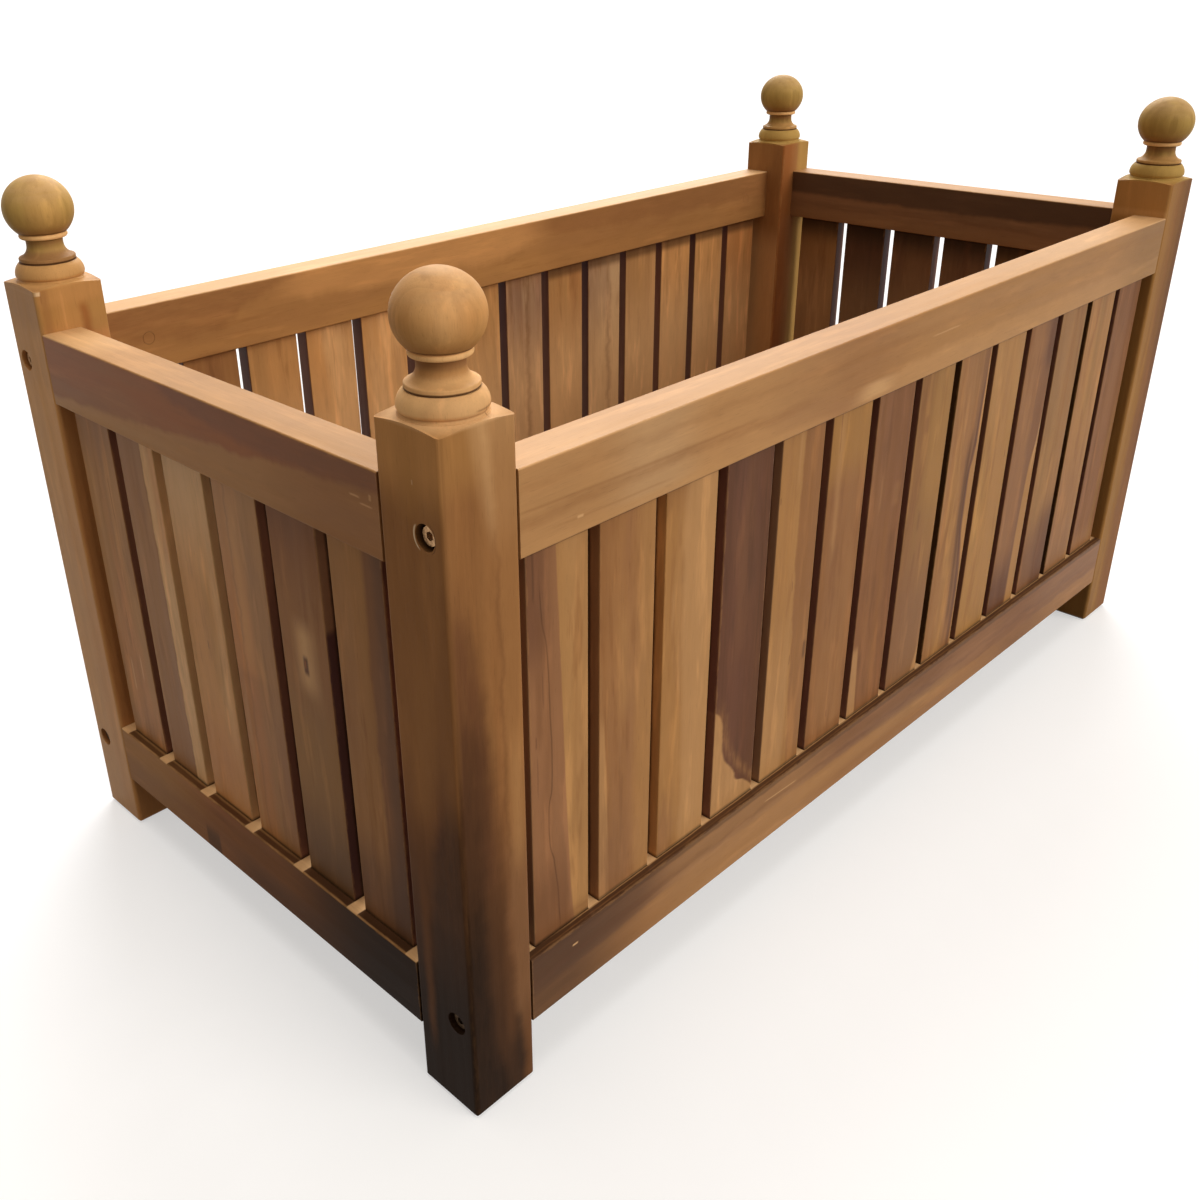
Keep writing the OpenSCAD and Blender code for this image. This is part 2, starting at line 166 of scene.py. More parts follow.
def buildFigureGroup():
    # Solid wood. Place is in metres, its z along the grain. Soft clouds carry the second wood, and
    # rings are circles round the pith, r = |(x, y) + bend - pith| + lean z, drawn faintly.
    tree, given, out = newGroup("woodFigure", [
        ("Place", "Vector", None), ("Seed", "Float", 0.0),
        ("Main", "Color", None), ("Second", "Color", None), ("Line", "Color", None),
        ("Second Share", "Float", 0.6), ("Pith", "Vector", (0.05, 0.08, 0.0)),
        ("Ring Width", "Float", 0.006), ("Ring Depth", "Float", 0.14), ("Streaks", "Float", 0.3),
        ("Mottle", "Float", 0.2), ("Smoke", "Float", 0.2), ("Pores", "Float", 0.3),
        ("Knot", "Vector", (0.0, 0.0, 0.0)), ("Knot Size", "Float", 0.0001),
    ], [("Color", "Color"), ("Shade", "Float"), ("Pore", "Float"), ("Height", "Float"), ("Gloss", "Float")])
    seed, spot = given["Seed"], given["Place"]
    seeded = vectors("ADD", spot, vectors("MULTIPLY", joined(seed, seed, seed), figure["seedStep"]))
    x, _, z = parted(spot)

    def grained(name, vector, output="Fac"):
        across, along, detail, rough = figure[name]
        return noise(stretched(vector, across, along), detail, rough, output=output)

    bend = vectors("SUBTRACT", grained("bend", seeded, "Color"), (0.5, 0.5, 0.5))
    bend = vectors("MULTIPLY", bend, (figure["bendReach"], figure["bendReach"], 0.0))
    bent = vectors("ADD", seeded, bend)

    # a knot pushes the rings outwards around it
    knot, knotSize = parted(given["Knot"]), given["Knot Size"]
    knotX = (x - knot[0]) / knotSize
    knotZ = (z - knot[2]) / knotSize * figure["knotLength"]
    knotHill = sums("EXPONENT", (knotX * knotX + knotZ * knotZ) * figure["knotFall"])
    knotPush = knotHill * (knotSize * figure["knotPush"])

    fromPith = vectors("SUBTRACT", vectors("ADD", spot, bend), given["Pith"])
    fromPith = vectors("MULTIPLY", fromPith, (1.0, 1.0, 0.0))
    turn = (vectors("LENGTH", fromPith) + knotPush + z * figure["lean"]) / given["Ring Width"]
    lumps = noise(joined(turn * 0.45, seed), 1.0)
    part = sums("FRACT", turn + lumps * figure["ringLumps"])
    ring = eased(part, 0.1, 0.86) * eased(part, 0.88, 1.0, 1.0, 0.0)
    ring = ring * eased(lumps, 0.35, 0.7, 0.2, 1.0)

    patches, wide, narrow = (grained(name, bent) for name in ("patches", "wide", "narrow"))
    streak = sums("ADD", eased(wide, 0.44, 0.74), eased(narrow, 0.52, 0.78) * 0.4, clamp=True)
    smoke, glow = (grained(name, bent) for name in ("smoke", "glow"))
    fibre, mottle, cloud, pore = (grained(name, seeded) for name in ("fibre", "mottle", "cloud", "pore"))
    pore = eased(pore, 0.63, 0.76) * given["Pores"]

    tint = blended(eased(patches, 0.4, 0.64) * given["Second Share"], given["Main"], given["Second"])
    tint = blended(streak * given["Streaks"], tint, given["Line"])
    smokeTone = vectors("MULTIPLY", given["Line"], figure["smokeTint"])
    tint = blended(eased(smoke, 0.52, 0.68) * given["Smoke"], tint, smokeTone)
    tint = blended(ring * given["Ring Depth"], tint, given["Line"])
    shade = (cloud - 0.5) * figure["cloudShade"] + (mottle - 0.5) * given["Mottle"]
    shade = shade + (fibre - 0.5) * figure["fibreShade"]
    shade = shade + eased(glow, 0.52, 0.72) * (given["Smoke"] * figure["glowShade"]) + 1.0
    plug(out["Color"], blended(eased(knotHill, 0.9, 0.975) * 0.8, tint, figure["knotHeart"]))
    plug(out["Shade"], shade)
    plug(out["Pore"], pore)
    plug(out["Height"], fibre * 0.5 - pore * 0.8 + ring * -0.2)
    plug(out["Gloss"], cloud * 0.5 + streak * 0.3)
    return tree


noLimit = 3000.0                                 # millimetres, beyond every end of the planter


def buildMarkGroup():
    # One mark in the wood, in millimetres. d = across - path + wobble; a line is where |d| < width,
    # a side is where d lies beyond the path; it softens over Soft, and past its span over Fade.
    tree, given, out = newGroup("woodMark", [
        ("Across", "Float", 0.0), ("Along", "Float", 0.0), ("Path", "Float", 0.0), ("Seed", "Float", 0.0),
        ("Side", "Float", 0.0), ("Width", "Float", 1.0), ("Soft", "Float", 1.0),
        ("Low", "Float", -noLimit), ("High", "Float", noLimit), ("Fade", "Float", 10.0),
        ("Wander", "Float", 0.5), ("Ragged", "Float", 0.0),
    ], [("Mask", "Float")])
    along, seed, way = given["Along"], given["Seed"], given["Side"]
    run = sums("MULTIPLY_ADD", along, 0.026, seed * 7.3)
    waves = result("ShaderNodeTexNoise", [("W", run), ("Scale", 1.0), ("Detail", 3.0), ("Roughness", 0.6)],
                   noise_dimensions="1D")
    wobble = waves - 0.5
    d = given["Across"] - given["Path"] + wobble * (given["Wander"] * 3.0)
    asLine = sums("ABSOLUTE", d) - given["Width"]
    asSide = d * way * -1.0
    isSide = sums("ABSOLUTE", way)
    far = asLine * (1.0 - isSide) + asSide * isSide
    mask = eased(far / given["Soft"], -1.0, 1.0, 1.0, 0.0)
    for within in (along - given["Low"], given["High"] - along):
        mask = mask * eased(within / given["Fade"], -0.5, 0.5)
    grit = noise(joined(given["Across"] * 0.2, seed, along * 0.035), 3.0, 0.6)
    plug(out["Mask"], mask * (1.0 - eased(grit, 0.36, 0.62, 1.0, 0.0) * given["Ragged"]))
    return tree


def buildWearAndShadeGroup():
    # Masks for a bar of the given half sizes: Edge along its rubbed arrises, Ends near its ends and
    # Flank on the two faces square to x; Ends gives dark joints on the rails and, with Flank, painted
    # shade on the slats. d = half - |place| for each axis; an arris is where two of the three d are small.
    tree, given, out = newGroup("arrisWear", [
        ("Place", "Vector", None), ("Half", "Vector", (0.03, 0.006, 0.2)),
        ("Reach", "Float", 0.002), ("End Reach", "Float", 0.01),
    ], [("Edge", "Float"), ("Ends", "Float"), ("Flank", "Float")])
    ways = parted(vectors("SUBTRACT", given["Half"], vectors("ABSOLUTE", given["Place"])))
    ragged = noise(stretched(given["Place"], 260, 60), 3.0, 0.65)
    reach = given["Reach"] * eased(ragged, 0.3, 0.75, 0.25, 1.6)
    near = [1.0 - sums("DIVIDE", way, reach, clamp=True) for way in ways]
    most = sums("MAXIMUM", sums("MAXIMUM", near[0] * near[1], near[1] * near[2]), near[0] * near[2])
    plug(out["Edge"], eased(most, 0.05, 0.6))
    plug(out["Ends"], eased(ways[2] / given["End Reach"], 0.0, 1.0, 1.0, 0.0))
    plug(out["Flank"], eased(ways[0], 0.0001, 0.0007, 1.0, 0.0))
    return tree


figureGroup = buildFigureGroup()
markGroup = buildMarkGroup()
wearAndShadeGroup = buildWearAndShadeGroup()
print("node groups built")

# every colour of wood in the planter, from sapwood to the painted shade at the near foot; chalk
# paints a highlight and stone a grey veil of reflection
woodTones = {
    "cream": "#dcb486", "wheat": "#cb9862", "peach": "#be8452", "straw": "#b98f62", "honey": "#b08657",
    "gold": "#aa7e4d", "brass": "#a87e48", "tan": "#9e734a", "olive": "#946f43", "rose": "#976d4d",
    "umber": "#8f643e", "amber": "#955c32", "russet": "#865b39", "mauve": "#876245", "cocoa": "#775135",
    "plum": "#664230", "mahogany": "#5e3a23", "bark": "#503624", "soot": "#33241a", "ink": "#1a110b",
    "dusk": "#6e4a44", "wine": "#53373c", "dove": "#94745f", "sand": "#c0a07c", "ivory": "#e4c6a0",
    "maize": "#b99c5c", "khaki": "#a3824a", "moss": "#77592f", "corn": "#cb9f68", "char": "#2a1c12",
    "chalk": "#f4e4ca", "butter": "#f0c48e", "stone": "#5f564e",
}
# turns that lay the piece's length along the figure's z
grainTurns = {"upright": (0, 0, 0), "uprightSide": (0, 0, -90), "long": (0, -90, 180), "short": (90, 0, 90),
              "floorBoard": (90, 0, 0)}


def line(tone, share, path, width=1.0, soft=1.0, **more):
    # a stripe along the path: one number, or points (along, across), in the planter's millimetres;
    # more may hold span=(from, to, fade), axes, face, wander and ragged
    return dict(more, tone=tone, share=share, path=path, width=width, soft=soft)


def side(tone, share, path, way, soft=2.0, **more):
    # all the wood beyond the path, towards + or - across
    return dict(more, tone=tone, share=share, path=path, side=way, soft=soft)


def spot(tone, share, across, along, width, half, soft=2.0, **more):
    # a blot, nick or fleck
    return dict(more, tone=tone, share=share, path=across, width=width, soft=soft,
                span=(along - half, along + half, max(1.5, half * 0.8)))


def after(tone, share, start, soft=2.0, **more):
    # all the wood past a place along the piece: above it on uprights, to the right or behind on rails
    return side(tone, share, start, 1, soft, **{"axes": "turned", **more})


def before(tone, share, end, soft=2.0, **more):
    # all the wood short of a place along the piece
    return side(tone, share, end, -1, soft, **{"axes": "turned", **more})


def pathSignal(path, along):
    # across as a smooth function of along through the given points
    if isinstance(path, (int, float)):
        return float(path)
    start, end = path[0][0], path[-1][0]
    low, high = min(p[1] for p in path) - 1, max(p[1] for p in path) + 1
    way = result("ShaderNodeMapRange", [("Value", along), ("From Min", start), ("From Max", end)])
    curveNode = place("ShaderNodeFloatCurve", [("Value", way)])
    curve = curveNode.mapping.curves[0]
    places = [((a - start) / (end - start), (b - low) / (high - low)) for a, b in path]
    curve.points[0].location, curve.points[-1].location = places[0], places[-1]
    for point in places[1:-1]:
        curve.points.new(*point)
    for point in curve.points:
        point.handle_type = "AUTO_CLAMPED"
    curveNode.mapping.update()
    return sums("MULTIPLY_ADD", Signal(curveNode.outputs[0]), high - low, low)


# what marks share: fade and the softness of a skin are in millimetres
markFinish = {"seedStep": 3.1, "wander": 0.4, "fade": 10.0, "skin": 0.6}


def addMarks(tint, coords, look, marks):
    # paints each mark over the tint, in order
    ways = dict(zip("xyz", parted(vectors("MULTIPLY", coords, (1000.0, 1000.0, 1000.0)))))
    skin = markFinish["skin"]
    for i, mark in enumerate(marks):
        axes = mark.get("axes", look["axes"])
        if axes == "turned":
            axes = look["axes"][::-1]
        across, along = (ways[a] for a in axes)
        low, high, fade = mark.get("span", (-noLimit, noLimit, markFinish["fade"]))
        # the path's nodes come before the group's: the renderer's stack is short
        values = {"Across": across, "Along": along, "Path": pathSignal(mark["path"], along),
                  "Seed": look["seed"] + i * markFinish["seedStep"], "Side": float(mark.get("side", 0)),
                  "Width": mark.get("width", 1.0), "Soft": mark["soft"], "Low": float(low),
                  "High": float(high), "Fade": float(fade),
                  "Wander": mark.get("wander", markFinish["wander"]), "Ragged": mark.get("ragged", 0.0)}
        share = result("ShaderNodeGroup", list(values.items()), node_tree=markGroup) * mark["share"]
        if "face" in mark:                       # only the skin of the wood beyond this plane
            axis, plane, way = mark["face"]
            share = share * eased((ways[axis] - plane) * float(way), -skin, skin)
        if "rowPitch" in mark:                   # only at the gaps, which lie at whole steps of the pitch
            pitch, half = mark["rowPitch"], mark["gapHalf"]
            inStep = sums("FRACT", along / pitch + 100.5)        # a half at each gap
            far = sums("ABSOLUTE", inStep - 0.5) * pitch
            share = share * eased(far, half - skin, half + skin, 1.0, 0.0)
        tint = blended(share, tint, colour(woodTones[mark["tone"]]))
    return tint


woodFinish = {
    # what a piece has unless its own look says otherwise: rubbed arrises, dark ends (dark joints on
    # the rails, painted shade on the slats), slats' flanks in painted shade
    "wearShare": 0.25, "wearTone": "honey", "wearReach": 0.0022,
    "endShare": 0.0, "endReach": 0.004, "flankShare": 0.85, "marks": (), "flankMarks": (),
    "sheen": 0.1, "rough": 0.42, "glossRange": 0.22, "bump": 0.3, "bumpDepth": 0.0005,
    "poreShare": 0.5, "poreTint": (0.05, 0.025, 0.012, 1.0),
}


def woodMaterial(name, low, high, look):
    # look: tones (main, clouds, lines), grain, axes, seed, marks and any of the figure's own sockets
    look = {**woodFinish, **look}
    material = bpy.data.materials.new(name)
    material.use_nodes = True
    tree = material.node_tree
    shader = tree.nodes["Principled BSDF"]
    centre = (Vector(low) + Vector(high)) / 2
    size = Vector(high) - Vector(low)
    turn = Euler([math.radians(a) for a in grainTurns[look["grain"]]])
    half = Vector([abs(h) for h in turn.to_matrix() @ (size / 2)])
    if "visibleHalf" in look:
        half.z = look["visibleHalf"]
    coords = Signal(place("ShaderNodeTexCoord", tree=tree).outputs["Object"])
    local = result("ShaderNodeMapping", [("Vector", coords), ("Location", -(turn.to_matrix() @ centre)),
                                         ("Rotation", turn)])
    main, second, lineTone = (colour(woodTones[tone]) for tone in look["tones"])
    settings = {"Main": main, "Second": second, "Line": lineTone, "Seed": look["seed"]}
    if "knotAt" in look:
        *knot, reach = (v / 1000 for v in look["knotAt"])
        settings.update({"Knot": turn.to_matrix() @ (Vector(knot) - centre), "Knot Size": reach})
    woodNode = place("ShaderNodeGroup", [("Place", local)], node_tree=figureGroup)
    wearAndShadeNode = place("ShaderNodeGroup", [
        ("Place", local), ("Half", half), ("Reach", look["wearReach"]), ("End Reach", look["endReach"])],
        node_tree=wearAndShadeGroup)
    for key, value in {**look, **settings}.items():
        if key in woodNode.inputs:
            woodNode.inputs[key].default_value = value
    wood, wearAndShade = signals(woodNode.outputs), signals(wearAndShadeNode.outputs)

    tint = addMarks(wood["Color"], coords, look, look["marks"])
    # the slats' flanks: painted shade in the gaps
    if "flankTone" in look:
        tint = blended(wearAndShade["Flank"] * look["flankShare"], tint, colour(woodTones[look["flankTone"]]))
        tint = blended(wearAndShade["Flank"], tint, addMarks(tint, coords, look, look["flankMarks"]))
    # rubbed arrises, then the dark ends: dark joints on the rails, painted shade on the slats
    for mask, share, tone in (("Edge", "wearShare", look["wearTone"]), ("Ends", "endShare", "ink")):
        tint = blended(wearAndShade[mask] * look[share], tint, colour(woodTones[tone]))
    tint = blended(1.0, tint, joined(wood["Shade"], wood["Shade"], wood["Shade"]), "MULTIPLY")
    tint = blended(wood["Pore"] * look["poreShare"], tint, look["poreTint"])
    plug(shader.inputs["Base Color"], tint)
    plug(shader.inputs["Roughness"], wood["Gloss"] * look["glossRange"] + look["rough"])
    plug(shader.inputs["Normal"], result("ShaderNodeBump", [
        ("Height", wood["Height"]), ("Strength", look["bump"]), ("Distance", look["bumpDepth"])]))
    plug(shader.inputs["Specular IOR Level"], look["sheen"])
    return material


def dress(name, material):
    for slot in nodes[name].material_slots:
        slot.material = material


# where marks lie: axes are across and along, and a face keeps a mark to the skin beyond a plane
onFront = {"face": ("y", -303.5, -1)}            # of the front posts
onLeft = {"axes": "yz", "face": ("x", -598.5, -1)}
upLeft = dict(onLeft, axes="zy")
onBack = {"face": ("y", 242.5, -1)}              # the front faces of the back posts
inRight = {"axes": "zy", "face": ("x", 537, -1)}
headFront = {"face": ("y", -284, -1)}            # of the turned heads
boltHole = {"axes": "yz", "face": ("x", -599.3, 1)}
boltRim = {"axes": "yz", "face": ("x", -599.2, -1)}
railFront = {"face": ("y", -303.6, -1)}
railTop = {"face": ("z", 544.2, 1)}
railInside = {"face": ("x", 570, -1)}            # of the right rails
longLedge = {"axes": "yx", "face": ("z", 124.2, 1)}    # the tops of the bottom rails
shortLedge = dict(longLedge, axes="xy")

draw = random.Random(20)
posts = {
    "front_left": {"tones": ("umber", "tan", "cocoa"), "Pith": (0.07, 0.09, 0.0), "Second Share": 0.6,
                   "wearShare": 0.03, "sheen": 0.03, "marks": [
        after("gold", 0.75, 548, 18), side("honey", 0.7, -556, 1, 8, span=(530, 600, 30)),
        side("cream", 0.6, [(480, -556), (583, -574)], 1, 9, span=(505, 700, 50), **onFront),
        # darker and darker towards the foot: painted shade of the near corner
        before("umber", 0.45, 430, 30, wander=6), before("cocoa", 0.8, 300, 70, wander=6),
        before("bark", 0.9, 215, 60, wander=8), before("soot", 0.85, 140, 60, wander=6),
        before("ink", 0.4, 85, 60),
        # a dark streak by the left arris, deepened towards the foot by painted shade
        side("bark", 0.7, [(5, -548), (100, -560), (200, -562), (300, -566), (455, -577), (583, -588)], -1,
             12, span=(-20, 430, 170), wander=4, ragged=0.2, **onFront),
        side("plum", 0.55, [(200, -568), (300, -571), (420, -579), (480, -590)], -1, 9, span=(230, 470, 70),
             wander=5, ragged=0.3, **onFront),
        side("char", 0.75, [(5, -562), (100, -580), (200, -580), (300, -580), (455, -588)], -1, 9,
             span=(-20, 330, 160), wander=4, ragged=0.2, **onFront),
        side("ink", 0.6, [(5, -560), (100, -580), (200, -584)], -1, 9, span=(-20, 200, 120), wander=4,
             ragged=0.3, **onFront),
        side("tan", 0.8, [(5, -543), (100, -549), (200, -553), (300, -555), (455, -557), (583, -561)], 1, 7,
             span=(210, 600, 120), wander=3, **onFront),
        side("mauve", 0.85, [(5, -542), (100, -553), (200, -558), (300, -556)], 1, 6, span=(60, 250, 90),
             wander=3, **onFront),
        side("cocoa", 0.75, -545, 1, 6, span=(-20, 80, 60), wander=3, **onFront),
        side("cocoa", 0.65, [(205, -257), (217, -263), (285, -277), (341, -283), (405, -289), (477, -297)],
             -1, 5, span=(190, 480, 30), wander=2, **onLeft),
        line("plum", 0.5, [(250, -279), (290, -284), (335, -289)], 4, 5, span=(250, 335, 25), **onLeft),
        after("tan", 0.35, 300, 40, **upLeft), after("wheat", 0.85, 540, 24, **upLeft),
        line("tan", 0.5, [(280, -262), (330, -268), (400, -274)], 9, 7, span=(280, 420, 50), **onLeft),
        line("straw", 0.35, -545, 5, 5, span=(230, 340, 50), **onFront),
        line("cocoa", 0.35, -558, 6, 5, span=(60, 180, 40), **onFront),
        side("bark", 0.5, [(240, -574), (320, -572), (380, -585)], -1, 7, span=(230, 370, 50), **onFront),
        # the left face darker towards the foot and the front arris: painted shade of the near corner
        before("bark", 0.4, 265, 30, wander=8, **upLeft),
        side("soot", 0.6, [(60, -262), (228, -270), (300, -288)], -1, 7, span=(40, 300, 50), wander=4,
             ragged=0.2, **onLeft),
        before("char", 0.65, 140, 50, wander=8, **upLeft), before("ink", 0.5, 115, 40, wander=8, **upLeft),
        line("cocoa", 0.6, -256, 4, 4, span=(60, 230, 50), wander=2, **onLeft),
        # painted shade inside both counterbores; on the upper one's rim, a painted highlight along one side
        # and painted shadow along the other
        line("char", 0.85, -286, 10.2, 0.4, span=(502, 523, 1), **boltHole),
        line("char", 0.6, -286, 10.2, 0.4, span=(82, 103, 1), **boltHole),
        line("chalk", 0.95, [(502.5, -280), (505, -277.6), (508, -275.9), (512.5, -275.1), (517, -275.9),
             (520, -277.6)], 0.7, 0.5, span=(503, 519, 3), wander=0.1, **boltRim),
        line("char", 0.7, [(503, -292), (506, -294.8), (512.5, -296.2), (519, -294.8), (522, -292)], 0.35,
             0.5, span=(503, 523, 3), wander=0.1, **boltRim),
        spot("ivory", 0.8, -276.5, 548, 0.6, 1.6, 0.5, **onLeft),
        line("gold", 0.45, -272, 8, 10, span=(520, 590, 40), wander=2, **onLeft),
        line("tan", 0.4, -568, 3, 4, span=(330, 585, 60), wander=4, **onFront),
        line("cocoa", 0.4, -556, 1.6, 2, span=(180, 500, 60), wander=4, **onFront),
        line("tan", 0.35, -598, 1.5, 2.5, span=(330, 583, 60))]},
    "front_right": {"tones": ("olive", "brass", "umber"), "Pith": (-0.06, 0.08, 0.0), "Second Share": 0.4,
                    "sheen": 0.03, "marks": [
        side("russet", 0.85, 566, 1, 8, wander=4), after("umber", 0.4, 400, 120),
        line("cream", 0.6, 548, 4, 3, **inRight), side("moss", 0.4, 571, 1, 5, span=(380, 600, 90), wander=3),
        side("plum", 0.5, 584, 1, 6, span=(200, 600, 120), wander=3), after("wheat", 0.6, 540, 6, **inRight),
        side("brass", 0.4, 552, -1, 5, span=(60, 600, 60), wander=3),
        line("honey", 0.5, 599, 1.5, 2.0, span=(0, 520, 60))]},
    "back_left": {"tones": ("peach", "wheat", "gold"), "Pith": (0.09, -0.07, 0.0), "marks": [
        after("umber", 0.85, 545, 14, axes="zy"), after("brass", 0.9, 545, 14, **onBack),
        line("umber", 0.4, 515, 22, 16, **upLeft),
        side("straw", 0.5, 266, 1, 8, span=(-20, 470, 60), wander=4, **onLeft),
        line("wheat", 0.35, 296, 5, 5, span=(0, 560, 60), wander=3, **onLeft), side("corn", 0.5, -599, -1, 1),
        after("wheat", 0.3, 569, 6, **onBack), line("umber", 0.5, -592, 4, 3, span=(540, 600, 10), **onBack),
        side("khaki", 0.45, -560, 1, 6, span=(540, 566, 8), **onBack),
        side("wheat", 0.3, -584, 1, 8, span=(530, 590, 14), **onBack),
        line("amber", 0.75, -557, 4, 4, span=(500, 566, 10), wander=2, **onBack),
        line("wheat", 0.6, -576, 0.8, 1.2, span=(546, 580, 8), **onBack),
        spot("ivory", 0.9, -597, 581, 2.4, 1.8, 0.8),
        line("umber", 0.6, -594.6, 0.5, 0.6, span=(572, 582, 3), **onBack),
        side("russet", 0.4, -598, 1, 3, span=(0, 520, 20))]},
    "back_right": {"tones": ("tan", "honey", "umber"), "Pith": (-0.08, -0.06, 0.0), "sheen": 0.03, "marks": [
        before("cream", 0.5, 450, 25, **inRight), side("amber", 0.8, 560, -1, 12, **onBack),
        side("maize", 0.6, 572, 1, 6, **onBack)]},
}
# the tone of each turned head and marks of its own: the nearest has a shake in its ring, on the right
heads = {
    "front_left": ("cream", [
        after("butter", 0.85, 589.5, 1.5), side("rose", 0.3, -284, -1, 5, axes="yz", face=("z", 588.5, 1)),
        line("russet", 0.7, 591.6, 0.5, 0.8, span=(-566, -530, 6), axes="zx", **headFront),
        line("cocoa", 0.6, -556, 0.5, 0.6, span=(586, 592, 2), **headFront)]),
    "front_right": ("maize", []), "back_left": ("corn", []), "back_right": ("maize", []),
}
# under: the tone and share of the painted shade on the ball's lower half; neck: how dark the painted shade on
# the neck is
finials = {
    # the nearest ball's glow is a painted highlight on its front
    "front_left": {"tones": ("wheat", "corn", "umber"), "under": ("brass", 0.45), "neck": 0.95,
                   "foot": "butter", "glow": [line("butter", 0.45, -584, 9, 9, span=(634, 662, 14),
                                                   wander=3, ragged=0.3, face=("y", -280, -1))]},
    "front_right": {"tones": ("maize", "khaki", "moss"), "under": ("khaki", 0.8), "neck": 0.85,
                    "foot": "corn"},
    "back_left": {"tones": ("maize", "corn", "khaki"), "under": ("khaki", 0.65), "neck": 0.7,
                  "foot": "rose"},
    "back_right": {"tones": ("maize", "khaki", "moss"), "under": ("khaki", 0.75), "neck": 0.85,
                   "foot": "corn"},
}


def finialMarks(finial):
    # by height: the ball from 627 up, the collar, the neck, and the seam on the post at the bottom
    onBall, byHeight = {"face": ("z", 627.5, 1)}, {"axes": "zx"}
    lowerTone, under = finial["under"]
    neck = finial["neck"]
    return finial.get("glow", []) + [
        # the paler top of the ball is a painted highlight, and its darker underside painted shade
        after("sand", 0.5, 659, 9, ragged=0.4), before(lowerTone, under, 642, 9, wander=2, **onBall),
        before("umber", under, 633, 5, wander=1, **onBall),
        # the neck's dark bands: painted shade under the ball
        line("cocoa", neck * 0.7, 618.0, 3.0, 3.0, **byHeight),
        line("russet", neck * 0.7, 620.5, 2.0, 1.2, **byHeight), before("rose", 0.35, 614, 3),
        before(finial["foot"], 0.6, 611.5, 2.5), line("butter", 0.9, 625.0, 2.0, 0.7, **byHeight),
        # painted shadow in the creases above and below the collar
        line("bark", 0.7, 628.2, 0.5, 0.5, **byHeight), line("bark", 0.5, 622.0, 0.5, 0.6, **byHeight),
        before("bark", 0.9, 603.7, 0.4)]


postWood = {"grain": "upright", "axes": "xz", "wearReach": 0.004, "Ring Width": 0.009}
finialWood = {"grain": "upright", "axes": "xz", "wearShare": 0.0, "sheen": 0.04, "Second Share": 0.5,
              "Pith": (0.05, 0.06, 0.0), "Streaks": 0.2, "Mottle": 0.3, "Smoke": 0.3}
for corner, look in posts.items():
    headTone, headMarks = heads[corner]
    marks = look["marks"] + [after(headTone, 0.85, 584.5, 2.0),
                             line("umber", 0.35, 588.4, 0.6, 0.6, axes="zx"),
                             after("cocoa", 0.7, 601.8, 0.2)] + headMarks
    look = {**postWood, **look, "marks": marks, "seed": draw.uniform(1, 90)}
    dress("post_" + corner, woodMaterial("postWood_" + corner, *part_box("post_" + corner), look))
    look = {**finialWood, "tones": finials[corner]["tones"], "marks": finialMarks(finials[corner]),
            "seed": draw.uniform(1, 90)}
    dress("finial_" + corner, woodMaterial("finialWood_" + corner, *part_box("finial_" + corner), look))
print("posts and finials dressed")

